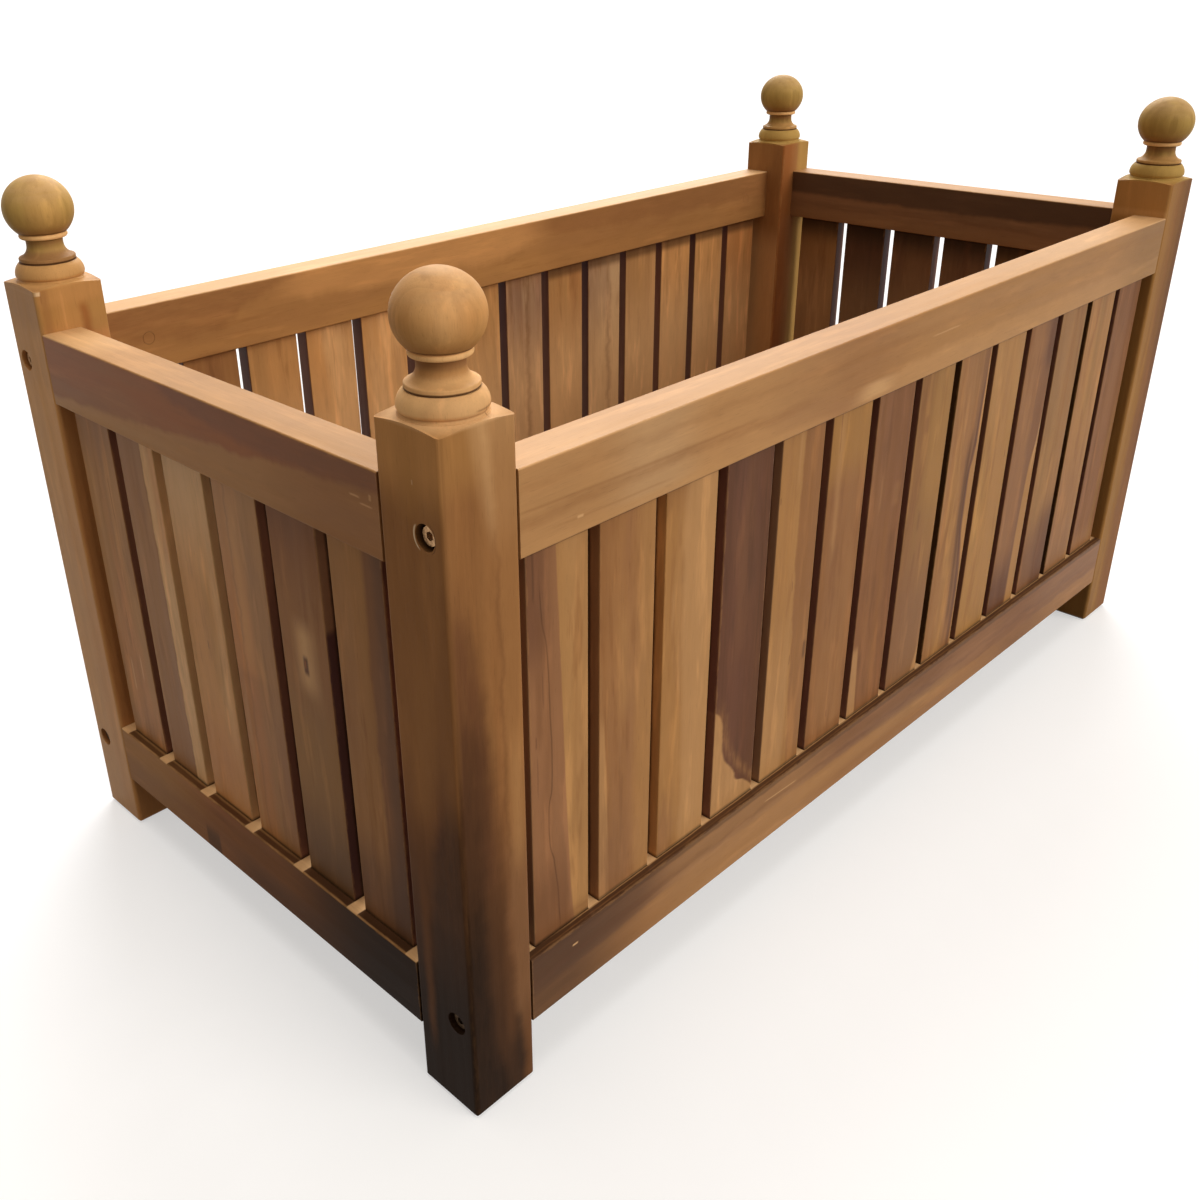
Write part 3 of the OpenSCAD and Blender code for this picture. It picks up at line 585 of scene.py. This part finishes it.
longPitch, shortPitch = 75.533, 77.573            # from gap to gap along the two kinds of side
rails = {
    "front_top": {"tones": ("tan", "rose", "umber"), "marks": [
        before("straw", 0.85, -190, 110), after("honey", 0.7, -80, 90),
        side("straw", 0.75, [(-150, 490), (-60, 497), (0, 502), (535, 501)], -1, 4, span=(-130, 600, 60),
             wander=3),
        after("moss", 0.45, 440, 60, **railFront), after("honey", 0.5, 430, 40, **railTop),
        line("cream", 0.5, -95, 22, 20, span=(484, 498, 6), axes="xz", **railFront),
        line("sand", 0.5, -395, 40, 30, axes="xz", **railFront),
        line("umber", 0.45, [(-540, 504), (-400, 506), (-200, 503)], 4, 4, span=(-560, -190, 40), wander=2,
             ragged=0.3),
        side("straw", 0.6, 487, -1, 3, span=(-560, -180, 60), **railFront),
        # painted sheen on the top face, like the honey on it further right
        after("ivory", 0.65, 240, 150, **railTop), after("straw", 0.6, 0, 100, **railTop),
        before("cream", 0.4, -440, 40, **railTop),
        line("umber", 0.4, [(-535, 513), (-400, 510), (-280, 509)], 1.0, 1.2, span=(-540, -280, 40)),
        line("umber", 0.3, [(-500, 493), (-380, 491)], 0.8, 1.2, span=(-500, -380, 30)),
        line("cream", 0.4, 518, 0.7, 0.8, span=(0, 47, 12)), spot("cream", 0.7, 493, -477, 1.0, 3.0, 0.8),
        line("umber", 0.3, [(-300, 530), (0, 526), (500, 531)], 3, 5, wander=3, ragged=0.4),
        # painted sheen on the top and inner faces
        side("straw", 0.5, -303.5, 1, 0.8, axes="yx")]},
    "front_bottom": {"tones": ("mauve", "rose", "cocoa"), "marks": [
        side("tan", 0.85, [(-540, 85), (-450, 88), (-400, 92), (-300, 93), (-200, 95), (-100, 94), (0, 91),
             (100, 88), (200, 84), (300, 83), (450, 84)], -1, 2.5, wander=2),
        # the bark by the left post is painted shade of the near corner
        line("straw", 0.4, -255, 120, 60, axes="xz"), before("bark", 0.8, -440, 60),
        side("bark", 0.5, 92, 1, 8, span=(-560, -380, 60)), line("cocoa", 0.6, 310, 60, 60, axes="xz"),
        line("honey", 0.4, [(-150, 84), (150, 86)], 8, 6, span=(-160, 160, 60)),
        line("plum", 0.3, [(-540, 98), (-300, 103), (0, 101), (500, 97)], 2.5, 3, wander=3, ragged=0.5),
        spot("cream", 0.9, 109, -485, 0.9, 3.0, 0.6),
        line("cream", 0.5, [(-218, 108), (-170, 106)], 0.6, 0.6, span=(-220, -170, 8)),
        # the bark over the ledge is painted shade, and the cream at the gaps is painted light that falls
        # through them
        side("bark", 0.95, 123.9, 1, 0.5),
        line("umber", 0.5, -301.5, 0.6, 0.6, wander=0.8, ragged=0.6, **longLedge),
        line("straw", 0.75, -296.9, 0.6, 0.5, span=(-490, 560, 60), **longLedge),
        side("cream", 0.95, -296.4, 1, 0.4, rowPitch=longPitch, gapHalf=6.2, **longLedge),
        side("bark", 0.55, 119.5, 1, 1.5, wander=1.2, **railFront)]},
    "back_top": {"tones": ("gold", "tan", "umber"), "marks": [
        side("umber", 0.75, [(0, 530), (120, 524), (300, 516), (535, 510)], 1, 6, wander=4,
             span=(20, 560, 60)),
        side("wheat", 0.55, [(-330, 520), (-60, 508), (40, 520)], 1, 8, wander=4, span=(-320, 60, 60)),
        line("gold", 0.5, [(200, 492), (535, 488)], 6, 6, span=(150, 560, 60)),
        line("umber", 0.6, 271.5, 4, 3, span=(-560, -190, 80), axes="yx", **railTop),
        side("russet", 0.5, [(-535, 520), (-430, 505), (-360, 528), (-300, 545)], 1, 6, wander=6, ragged=0.3,
             span=(-540, -300, 30)),
        # the cream over the top face is painted sheen
        after("umber", 0.4, 60, 60), side("cream", 0.8, 544.2, 1, 0.8)]},
    "back_bottom": {"tones": ("tan", "umber", "russet")},
    "left_top": {"tones": ("amber", "umber", "russet"), "marks": [
        side("gold", 0.85, [(-235, 531), (-150, 522), (-75, 514), (0, 508), (45, 503), (105, 498), (165, 494),
             (245, 490)], -1, 3, wander=3),
        before("russet", 0.6, -130, 60),
        line("honey", 0.5, [(30, 490), (245, 485)], 4, 4, span=(30, 260, 60)),
        side("plum", 0.45, [(-240, 529), (-120, 522), (-20, 528), (60, 545)], 1, 5, wander=4,
             span=(-245, 60, 60)),
        spot("cream", 0.55, 521, -214, 0.7, 5.0, 0.6), spot("cream", 0.5, 517, -226, 0.6, 6.0, 0.6),
        # the honey over the top face and the cream on it further back are painted sheen
        spot("cream", 0.4, 524, -231, 2.2, 1.2, 0.6), side("honey", 0.9, 544.2, 1, 0.8),
        after("cream", 0.6, 160, 50, **railTop)]},
    "left_bottom": {"tones": ("amber", "umber", "cocoa"), "sheen": 0.03, "marks": [
        # darker and darker towards the front post: painted shade of the near corner
        after("gold", 0.85, 110, 70), before("cocoa", 0.65, 30, 60), side("cocoa", 0.4, 94, -1, 12, wander=3),
        side("bark", 0.6, 84, -1, 12, span=(-300, 20, 80)), before("bark", 0.9, -85, 50),
        before("soot", 0.85, -130, 45), before("ink", 0.6, -170, 45),
        # the bark over the ledge is painted shade; the cream at the gaps, below, is painted light that falls
        # through them
        side("soot", 0.6, 84, -1, 8, span=(60, 84, 4)), side("bark", 0.85, 123.9, 1, 0.5),
        line("straw", 0.7, 124.5, 0.7, 0.6, ragged=0.6, span=(-240, 240, 10), face=("x", -598.6, -1)),
        line("honey", 0.45, -592.4, 1.2, 1.0, span=(-60, 240, 80), **shortLedge),
        side("cream", 0.95, -601, 1, 0.4, rowPitch=shortPitch, gapHalf=7.0, **shortLedge)]},
    "right_top": {"tones": ("mauve", "rose", "cocoa"), "marks": [
        side("bark", 0.85, [(-240, 518), (0, 514), (240, 516)], 1, 3.5, wander=2, **railInside),
        # the stone on the inner face is a grey veil painted for reflected light
        side("tan", 0.4, 497, -1, 10), side("stone", 0.18, 470, 1, 5, **railInside),
        # the straw over the top face is painted sheen
        side("straw", 0.9, 544.2, 1, 0.8)]},
    "right_bottom": {"tones": ("tan", "umber", "russet")},
}
railWood = {"endShare": 0.3, "endReach": 0.0006, "wearShare": 0.2, "Smoke": 0.25,
            "Pith": (0.03, -0.1, 0.0), "Ring Width": 0.008}
# visibleHalf: half of the length between the posts, in metres
railKinds = {"long": {"grain": "long", "axes": "zx", "visibleHalf": 0.5352},
             "short": {"grain": "short", "axes": "zy", "visibleHalf": 0.2402}}
for name, look in rails.items():
    kind = railKinds["long" if name.startswith(("front", "back")) else "short"]
    look = {**railWood, **kind, **look, "seed": draw.uniform(1, 90)}
    dress("rail_" + name, woodMaterial("railWood_" + name, *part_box("rail_" + name), look))
print("rails dressed")

# slats of the front, from the left post to the right one
frontSlats = {
    1: {"tones": ("honey", "straw", "tan"), "flankTone": "dove", "marks": [
        side("rose", 1.0, [(120, -476), (146, -479), (242, -484), (348, -488), (427, -491), (482, -493)], -1,
             1.0),
        side("mauve", 0.5, -499, -1, 10, span=(380, 600, 60)),
        side("plum", 0.65, -502, -1, 12, span=(385, 600, 60), wander=2),
        # darker low by the left post: painted shade of the near corner
        before("cocoa", 0.8, 195, 35, span=(-560, -482, 12)),
        line("bark", 0.8, [(125, -493), (170, -495.6), (199, -499), (230, -504), (249, -504), (271, -500.4),
             (302, -499.7), (338, -501), (374, -502), (400, -504), (417, -507.6), (439, -509.5)], 0.5, 0.9,
             span=(130, 445, 25)),
        line("cocoa", 0.35, [(150, -496), (250, -506), (340, -503), (420, -508)], 4, 5, span=(150, 420, 10)),
        line("bark", 0.6, -516, 0.7, 1.2, span=(438, 490, 10)), spot("plum", 0.7, -508, 362, 0.4, 14, 0.8),
        spot("plum", 0.7, -516, 319, 0.5, 5, 0.7), spot("plum", 0.6, -515, 288, 0.4, 16, 0.7),
        spot("cocoa", 0.5, -512, 345, 3, 30, 3), before("cocoa", 0.55, 136, 8, ragged=0.3, wander=4)]},
    2: {"tones": ("tan", "rose", "umber"), "flankTone": "rose", "marks": [
        side("umber", 0.6, -436, -1, 8, span=(360, 600, 60), wander=2),
        side("honey", 0.6, -404, 1, 10, wander=3), spot("honey", 0.5, -418, 345, 6, 45, 8),
        spot("gold", 0.4, -398, 250, 7, 60, 8),
        side("straw", 0.7, [(120, -434), (220, -437), (310, -442)], -1, 1.5, span=(110, 300, 30)),
        line("umber", 0.6, [(120, -433), (220, -436), (320, -441)], 0.8, 1.4, span=(110, 320, 30)),
        spot("cocoa", 0.35, -434, 160, 4, 24, 4, ragged=0.5), spot("cocoa", 0.3, -420, 206, 1.5, 30, 3),
        before("mauve", 0.6, 200, 50, span=(-450, -412, 20))]},
    3: {"tones": ("gold", "straw", "tan"), "flankTone": "wheat", "marks": [
        side("straw", 0.9, [(120, -343), (200, -342), (330, -347), (400, -349), (480, -350)], 1, 5, wander=2),
        line("straw", 0.5, -333, 4, 6, span=(150, 420, 60), wander=3),
        line("straw", 0.6, -360, 1.5, 2.5, span=(350, 385, 20)),
        line("straw", 0.55, -350, 1.5, 2.5, span=(286, 330, 25)),
        after("umber", 0.6, 465, 25, span=(-380, -345, 10)),
        side("mauve", 0.6, -352, -1, 10, span=(100, 175, 60), wander=3)]},
    4: {"tones": ("plum", "cocoa", "bark"), "marks": [
        side("mahogany", 0.5, -262, 1, 10, wander=4, ragged=0.3),
        side("straw", 0.95, [(120, -224), (144, -246), (153, -262), (165, -266), (177, -274), (194, -281),
             (227, -287), (243, -299)], -1, 2.2, span=(60, 243, 12), wander=3, ragged=0.12),
        line("tan", 0.5, [(120, -218), (150, -240), (180, -268), (235, -286)], 5, 6, span=(125, 240, 30),
             ragged=0.7, wander=5),
        line("bark", 0.5, -241, 0.5, 1.0, span=(250, 470, 10)),
        spot("bark", 0.4, -278, 300, 3, 30, 4, ragged=0.5)]},
    5: {"tones": ("gold", "honey", "tan"), "flankTone": "dove", "marks": [
        side("umber", 0.9, [(120, -177), (250, -183), (380, -188), (480, -187)], 1, 2.0, wander=2),
        side("tan", 0.6, [(120, -180), (480, -186)], 1, 6, span=(80, 290, 60)),
        before("straw", 0.7, 270, 60, span=(-260, -186, 8)),
        line("straw", 0.6, -193, 1.3, 1.8, span=(425, 476, 20)), spot("plum", 0.7, -218, 418, 0.5, 3, 0.6),
        spot("plum", 0.6, -190, 326, 0.5, 5, 0.8), spot("plum", 0.6, -185, 247, 0.5, 5, 0.8),
        spot("bark", 0.6, -162, 249, 2, 9, 1.5), line("tan", 0.35, -208, 3, 5, wander=3, ragged=0.3)]},
    6: {"tones": ("umber", "tan", "russet"), "marks": [
        side("brass", 0.75, [(-150, 405), (-115, 418), (-80, 412)], 1, 22, wander=5, axes="zx"),
        line("plum", 0.6, -131, 0.6, 1.0, span=(438, 490, 10)),
        line("straw", 0.4, -128, 3.5, 4, span=(330, 470, 50), wander=2),
        line("tan", 0.6, -95, 7, 6, span=(120, 330, 60), wander=3), spot("plum", 0.7, -110, 152, 0.5, 4, 0.6),
        before("russet", 0.5, 137, 5, wander=3)]},
    7: {"tones": ("russet", "umber", "cocoa"), "marks": [
        line("tan", 0.6, -49, 1.2, 2.0, span=(355, 388, 14)),
        line("umber", 0.55, -30, 6, 6, span=(150, 350, 60), wander=3),
        spot("cocoa", 0.75, -19, 364, 2.2, 5, 2.0), spot("tan", 0.4, -19, 364, 6, 12, 6),
        line("plum", 0.35, -12, 1.0, 2, span=(200, 470, 10), wander=3),
        side("straw", 0.75, [(120, -54), (206, -60)], -1, 1.6, span=(100, 206, 12))]},
    8: {"tones": ("olive", "umber", "russet"), "marks": [
        side("brass", 0.5, 34, 1, 10, span=(330, 600, 60)), before("mauve", 0.75, 250, 50),
        side("straw", 0.85, [(120, 56), (170, 70), (215, 74)], 1, 3, span=(90, 215, 30)),
        spot("cocoa", 0.6, 25, 422, 3, 9, 3), spot("cocoa", 0.5, 33, 316, 2, 10, 2.5),
        spot("cocoa", 0.4, 43, 278, 1.6, 10, 2.5), line("russet", 0.4, 16, 5, 6, wander=3)]},
    9: {"tones": ("tan", "brass", "umber"), "flankTone": "ink", "marks": [
        side("cocoa", 0.7, [(120, 126), (200, 126), (300, 118), (400, 124), (482, 130)], 1, 12, wander=3),
        side("gold", 0.95, [(120, 141), (182, 142), (218, 141), (252, 137), (290, 132.6), (328, 132.6),
             (357, 137), (381, 140), (422, 142), (482, 148)], 1, 1.5),
        line("plum", 0.85, [(120, 138), (182, 139), (218, 138), (252, 134), (290, 129.6), (328, 129.6),
             (357, 134), (381, 137), (422, 139), (463, 145), (482, 147)], 2.4, 3.0),
        line("bark", 0.6, [(120, 130), (240, 128), (300, 124), (400, 129)], 3, 3, span=(160, 380, 50)),
        line("bark", 0.6, [(200, 138), (252, 133), (290, 129), (328, 129), (357, 133), (390, 137)], 1.2, 1.6,
             span=(190, 400, 50)),
        line("wheat", 0.7, [(300, 140), (400, 142), (470, 144)], 2.0, 2.0, span=(380, 480, 40)),
        before("umber", 0.5, 150, 50, span=(138, 150, 6)), spot("ink", 0.6, 138, 372, 0.6, 4, 0.7)]},
    10: {"tones": ("brass", "gold", "tan"), "marks": [
        after("straw", 0.4, 400, 60), spot("plum", 0.6, 212, 338, 0.6, 4, 0.7),
        spot("umber", 0.45, 187, 374, 1.4, 12, 2.0), before("olive", 0.45, 150, 30),
        line("gold", 0.4, 196, 5, 6, wander=3)]},
    11: {"tones": ("umber", "tan", "russet"), "marks": [
        side("cocoa", 0.75, [(120, 262), (300, 268), (480, 272)], 1, 9, wander=4),
        side("gold", 0.95, [(125, 276), (194, 277), (254, 279.6), (302, 283), (338, 294), (379, 301),
             (430, 304)], 1, 2.0, span=(60, 425, 30)),
        line("cream", 0.4, [(300, 288), (400, 301)], 1.5, 2.0, span=(300, 400, 30)),
        side("mahogany", 0.75, 281, 1, 6, span=(420, 600, 26), wander=3),
        before("mahogany", 0.9, 185, 34, span=(230, 276, 8))]},
    12: {"tones": ("olive", "tan", "umber"), "marks": [
        line("gold", 0.4, 335, 7, 7, span=(220, 470, 60), wander=3), before("cocoa", 0.9, 205, 40, wander=6),
        side("mahogany", 0.7, 340, 1, 12, span=(100, 230, 60))]},
    13: {"tones": ("gold", "tan", "umber"), "flankTone": "ink", "marks": [
        line("olive", 0.7, 419, 6, 5, span=(330, 600, 50), wander=2), before("umber", 0.6, 270, 60),
        before("mauve", 0.5, 180, 40), side("gold", 0.4, 438, 1, 5, wander=2)]},
    14: {"tones": ("russet", "umber", "cocoa"), "marks": [
        after("mahogany", 0.4, 430, 60),
        line("olive", 0.55, [(120, 509), (240, 512), (330, 518)], 5, 5, span=(110, 310, 60), wander=2),
        before("tan", 0.4, 150, 14)]},
}
# slats of the left side, from the front post to the back one
leftSlats = {
    # slat 1's front edge beside the post and the feet of slats 1 and 2 are darkened as painted shade of the
    # post and the near corner
    1: {"tones": ("tan", "gold", "umber"), "sheen": 0.07, "marks": [
        before("cocoa", 0.85, 195, 50),
        side("cocoa", 0.85, [(120, -206), (300, -203), (480, -201)], -1, 3, wander=2),
        side("bark", 0.5, -214, -1, 6, wander=2), before("bark", 0.65, 200, 60, span=(-300, -204, 6)),
        after("gold", 0.5, 400, 80, span=(-204, -100, 5)), before("bark", 0.45, 190, 40)]},
    2: {"tones": ("tan", "umber", "russet"), "flankTone": "dove", "sheen": 0.07,
        "knotAt": (-591, -116, 344, 6.0), "flankMarks": [before("wine", 0.9, 385, 5)], "marks": [
        after("russet", 0.85, 425, 30), after("plum", 0.35, 455, 20),
        spot("cream", 0.75, -117, 350, 10, 30, 11), before("olive", 0.75, 310, 40),
        before("bark", 0.75, 190, 55), spot("mahogany", 0.95, -116, 344, 3.0, 8, 1.6),
        spot("amber", 0.8, -115, 345, 0.9, 3.5, 0.8)]},
    3: {"tones": ("tan", "gold", "umber"), "marks": [
        side("peach", 0.8, -40, 1, 8, wander=2), line("wheat", 0.8, -30, 7, 8, span=(310, 460, 50)),
        side("russet", 0.5, -58, -1, 4, span=(100, 260, 60)), before("umber", 0.35, 300, 6),
        line("straw", 0.5, -14, 2.5, 3, span=(110, 280, 50)), after("straw", 0.55, 400, 60),
        line("cocoa", 0.35, -24, 1.0, 2, wander=3)]},
    4: {"tones": ("wheat", "cream", "gold"), "flankTone": "sand", "marks": [
        spot("brass", 0.4, 29, 314, 8, 60, 9), spot("plum", 0.6, 38.6, 302, 0.6, 4, 0.7),
        before("peach", 0.7, 215, 45), after("ivory", 0.5, 400, 60)]},
    5: {"tones": ("tan", "gold", "umber"), "flankTone": "sand", "marks": [
        after("umber", 0.55, 430, 40), before("umber", 0.6, 190, 40),
        side("cream", 1.0, [(120, 103), (200, 104), (300, 105), (400, 106), (480, 107)], -1, 1.5, wander=2.0,
             ragged=0.15),
        side("peach", 0.5, 96, -1, 5, span=(360, 600, 60)),
        line("cocoa", 0.5, [(120, 104.5), (300, 106.5), (480, 108.5)], 0.7, 1.0, wander=2.0, ragged=0.5),
        spot("cream", 0.8, 101, 268, 2.0, 8, 1.5)]},
    6: {"tones": ("gold", "peach", "umber"), "marks": [
        after("umber", 0.7, 440, 30), before("umber", 0.5, 160, 30),
        line("cocoa", 0.7, 181, 0.7, 1.0, span=(380, 420, 10)),
        line("straw", 0.5, 212, 2, 3, span=(250, 420, 50)),
        line("cream", 0.6, 204, 1.0, 1.4, span=(185, 220, 10)),
        line("cream", 0.6, 183, 1.0, 1.4, span=(205, 230, 10)),
        line("cocoa", 0.6, 195, 0.6, 0.9, span=(264, 280, 10)), line("umber", 0.4, 190, 2.5, 3, wander=3)]},
}
# back and right slats: main, cloud and line tones, the flank's tone (its darkness painted shade of the gaps)
# and whether a dark streak runs down
backSlats = {
    1: ("gold", "tan", "umber", "dusk", 0), 2: ("tan", "gold", "cocoa", "dusk", 1),
    3: ("honey", "wheat", "tan", "wine", 0), 4: ("wheat", "cream", "honey", "dusk", 0),
    5: ("wheat", "cream", "honey", "wine", 0), 6: ("peach", "wheat", "tan", "dusk", 0),
    7: ("honey", "wheat", "tan", "dusk", 0), 8: ("dove", "sand", "cocoa", "wine", 1),
    9: ("honey", "peach", "umber", "dusk", 0), 10: ("sand", "dove", "mauve", "wine", 1),
    11: ("straw", "honey", "umber", "dusk", 0), 12: ("wheat", "straw", "tan", "dusk", 0),
    13: ("wheat", "cream", "honey", "wine", 0), 14: ("peach", "wheat", "gold", "dusk", 0),
}
rightSlats = {
    1: ("peach", "gold", "umber", "wine", 0), 2: ("gold", "umber", "cocoa", "wine", 1),
    3: ("mauve", "cocoa", "plum", "wine", 1), 4: ("mauve", "cocoa", "plum", "dusk", 0),
    5: ("plum", "bark", "soot", "wine", 0), 6: ("honey", "tan", "umber", "wine", 0),
}


def plainSlat(row, centre, isRight):
    # a slat with no mark of its own: painted light where the floor lights its inner face, painted shade
    # under the rail, and on the right a grey veil painted for reflected light
    *tones, flankTone, streaked = row
    if isRight:
        inside = {"face": ("x", 585, -1)}
        marks = [before("sand", 0.4, 400, 50, **inside), after("stone", 0.25, 60, 5, **inside),
                 after("soot", 0.85, 455, 20, **inside)]
    else:
        inside = {"face": ("y", 290, -1)}
        marks = [after("umber", 0.5, 470, 20, **inside), before("cream", 0.7, 390, 70, **inside)]
        if centre > 60:                          # the top rail keeps the light from these
            marks.append(after("bark", 0.7, 465, 5, **inside))
    if streaked:
        marks.append(line(tones[2], 0.5, centre + draw.uniform(-16, 16), 3, 5, wander=5, ragged=0.3))
    return {"tones": tones, "flankTone": flankTone, "marks": marks}


# the dark ends, under the top rail and at the feet, and the dusky flanks are painted shade
slatWood = {"flankTone": "dusk", "visibleHalf": 0.1775, "endShare": 0.85, "endReach": 0.005,
            "Streaks": 0.4, "Smoke": 0.42}
# in millimetres: the top rail's lower edge, the slats' feet, and where the light ends in the gaps
slatPlaces = {"underRail": 474.4, "feet": 126.0, "litFront": -285.5, "litStep": 0.45, "litLeft": -583}
slats = {"front": frontSlats, "left": leftSlats, "back": backSlats, "right": rightSlats}
for sideName, table in slats.items():
    isLong = sideName in ("front", "back")
    for i, look in table.items():
        node = f"slat_{sideName}_{i:02d}"
        low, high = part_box(node)
        if isinstance(look, tuple):
            across = 0 if isLong else 1
            look = plainSlat(look, (low[across] + high[across]) * 500, sideName == "right")
        look = {**slatWood, "grain": "upright" if isLong else "uprightSide", "axes": "xz" if isLong else "yz",
                **look}
        if sideName in ("front", "left"):        # painted shadow right below the top rail, and painted shade deep in the gaps
            look["marks"] = look["marks"] + [after("soot", 0.85, slatPlaces["underRail"], 0.9)]
            lit = slatPlaces["litFront"] - slatPlaces["litStep"] * i if isLong else slatPlaces["litLeft"]
            look["flankMarks"] = look.get("flankMarks", []) + [
                side("soot", 0.85, lit, 1, 1.6, axes="yz" if isLong else "xz", wander=0.6)]
        if sideName == "front" and i > 1:        # a pale line where the feet meet the rail
            look["marks"] = look["marks"] + [
                line("cream", 0.75, slatPlaces["feet"], 0.5, 0.6, axes="zx", ragged=0.2)]
        look.update({"seed": draw.uniform(1, 90), "Ring Width": draw.uniform(0.006, 0.012), "Pith": (
            draw.uniform(-0.05, 0.05), draw.choice((-1, 1)) * draw.uniform(0.03, 0.12), 0.0)})
        dress(node, woodMaterial("slatWood_" + node[5:], low, high, look))
print("slats dressed")

floorLooks = {
    "floor_boards": ("floorWood", {"tones": ("tan", "umber", "russet"), "grain": "floorBoard", "axes": "xy",
                                   "seed": 40.0, "Ring Width": 0.008, "endShare": 0.3}),
    "floor_bearers": ("bearerWood", {"tones": ("umber", "tan", "russet"), "grain": "long", "axes": "zx",
                                     "seed": 52.0}),
}
for name, (materialName, look) in floorLooks.items():
    dress(name, woodMaterial(materialName, *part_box(name), look))

steels = {"connector_bolts": ("boltSteel", "#b9946c", 0.5), "cross_dowel_nuts": ("nutSteel", "#cfc6b8", 0.4)}
steelFinish = {
    "grimeTone": "#7a5c40", "grimeScale": 420, "scuffScale": 1900,    # features per metre
    # the lower bolts and nuts darkened: painted shade of the dark foot
    "dirtTone": "#20160f", "dirtShare": 0.85, "dirtBelow": (0.25, 0.35),    # the lower bolts, in metres
    "bump": 0.2, "bumpDepth": 0.0002,
}


def steelMaterial(name, tint, rough):
    material = bpy.data.materials.new(name)
    material.use_nodes = True
    tree = material.node_tree
    shader = tree.nodes["Principled BSDF"]
    coords = Signal(place("ShaderNodeTexCoord", tree=tree).outputs["Object"])
    grime = noise(coords, 4.0, 0.6, steelFinish["grimeScale"])
    scuffs = noise(coords, 3.0, 0.6, steelFinish["scuffScale"])
    steel = blended(eased(grime, 0.35, 0.75), colour(tint), colour(steelFinish["grimeTone"]))
    lowShade = eased(parted(coords)[2], *steelFinish["dirtBelow"], steelFinish["dirtShare"], 0.0)
    plug(shader.inputs["Base Color"], blended(lowShade, steel, colour(steelFinish["dirtTone"])))
    plug(shader.inputs["Roughness"], eased(scuffs, 0.3, 0.7, rough - 0.08, rough + 0.12))
    plug(shader.inputs["Normal"], result("ShaderNodeBump", [
        ("Height", scuffs), ("Strength", steelFinish["bump"]), ("Distance", steelFinish["bumpDepth"])]))
    shader.inputs["Metallic"].default_value = 1.0
    return material


for name, steel in steels.items():
    dress(name, steelMaterial(*steel))
print("materials dressed:", len(bpy.data.materials))

studio = {
    # soft suns: direction towards each, the light that it lays on a face square to it, colour, spread
    "suns": {
        "backSun": ((0.58, 0.52, 0.62), 0.86, (1.0, 0.97, 0.93), 40),
        "topSun": ((0.0, 0.0, 1.0), 0.32, (1.0, 0.96, 0.90), 30),
        "frontSun": ((0.30, -1.0, 0.46), 0.58, (1.0, 0.91, 0.78), 45),
    },
    "sky": (0.38, 0.30, 0.21),          # dim warm room light on the object
    "floorPale": (0.50, 0.52, 0.56),    # what the camera and reflections see, with the glow
    "floorGlow": 0.52,
    "floorBounce": (0.16, 0.15, 0.14),  # what the floor throws back on the object
    "floorReach": 60.0,
}


def seenRays(tree):
    # 1 for rays that show the backdrop: the camera's, a reflection's and those through glass
    path = signals(place("ShaderNodeLightPath", tree=tree).outputs)
    seen = sums("MAXIMUM", path["Is Camera Ray"], path["Is Glossy Ray"])
    return sums("MAXIMUM", seen, path["Is Transmission Ray"])


world = bpy.data.worlds.new("softSky")
scene.world = world
world.use_nodes = True
tree = world.node_tree
sky = tree.nodes["Background"]
white = (1.0, 1.0, 1.0, 1.0)
plug(sky.inputs["Color"], blended(seenRays(tree), studio["sky"] + (1.0,), white))
sky.inputs["Strength"].default_value = 1.0

for name, (towards, level, tint, spread) in studio["suns"].items():
    sunData = bpy.data.lights.new(name, "SUN")
    sunData.energy = level * math.pi
    sunData.color = tint
    sunData.angle = math.radians(spread)
    sun = bpy.data.objects.new(name, sunData)
    sun.rotation_euler = Vector(towards).to_track_quat("Z", "Y").to_euler()
    scene.collection.objects.link(sun)

reach = studio["floorReach"]
floorMesh = bpy.data.meshes.new("studioFloor")
floorMesh.from_pydata([(-reach, -reach, 0), (reach, -reach, 0), (reach, reach, 0), (-reach, reach, 0)],
                      [], [(0, 1, 2, 3)])
studioFloor = bpy.data.objects.new("studioFloor", floorMesh)
scene.collection.objects.link(studioFloor)
floorPaint = bpy.data.materials.new("floorPaint")
floorPaint.use_nodes = True
tree = floorPaint.node_tree
shader = tree.nodes["Principled BSDF"]
plug(shader.inputs["Base Color"],
     blended(seenRays(tree), studio["floorBounce"] + (1.0,), studio["floorPale"] + (1.0,)))
shader.inputs["Emission Color"].default_value = white
plug(shader.inputs["Emission Strength"], seenRays(tree) * studio["floorGlow"])
shader.inputs["Roughness"].default_value = 0.9
shader.inputs["Specular IOR Level"].default_value = 0.0
floorMesh.materials.append(floorPaint)

camera = {
    "focalPixels": 1230.95,            # for the photograph's 1200 x 1200 frame
    "centrePixels": (532.77, 563.28),
    "place": (-1.04204, -0.83847, 0.84191),
    "right": (0.710209, -0.703694, -0.020432),
    "down": (-0.325405, -0.302405, -0.895915),
    "forward": (0.624271, 0.642936, -0.443756),
}
framePixels = 1200
lensData = bpy.data.cameras.new("photoCamera")
lensData.sensor_width = 36.0
lensData.sensor_fit = "HORIZONTAL"
lensData.lens = camera["focalPixels"] / framePixels * lensData.sensor_width
lensData.shift_x = (framePixels / 2 - camera["centrePixels"][0]) / framePixels
lensData.shift_y = (camera["centrePixels"][1] - framePixels / 2) / framePixels
lensData.clip_end = 200.0
photoCamera = bpy.data.objects.new("photoCamera", lensData)
columns = [Vector(camera["right"]), -Vector(camera["down"]), -Vector(camera["forward"])]
photoCamera.matrix_world = Matrix.Translation(camera["place"]) @ Matrix(columns).transposed().to_4x4()
scene.collection.objects.link(photoCamera)
scene.camera = photoCamera

scene.view_settings.view_transform = "Standard"
print("studio ready")
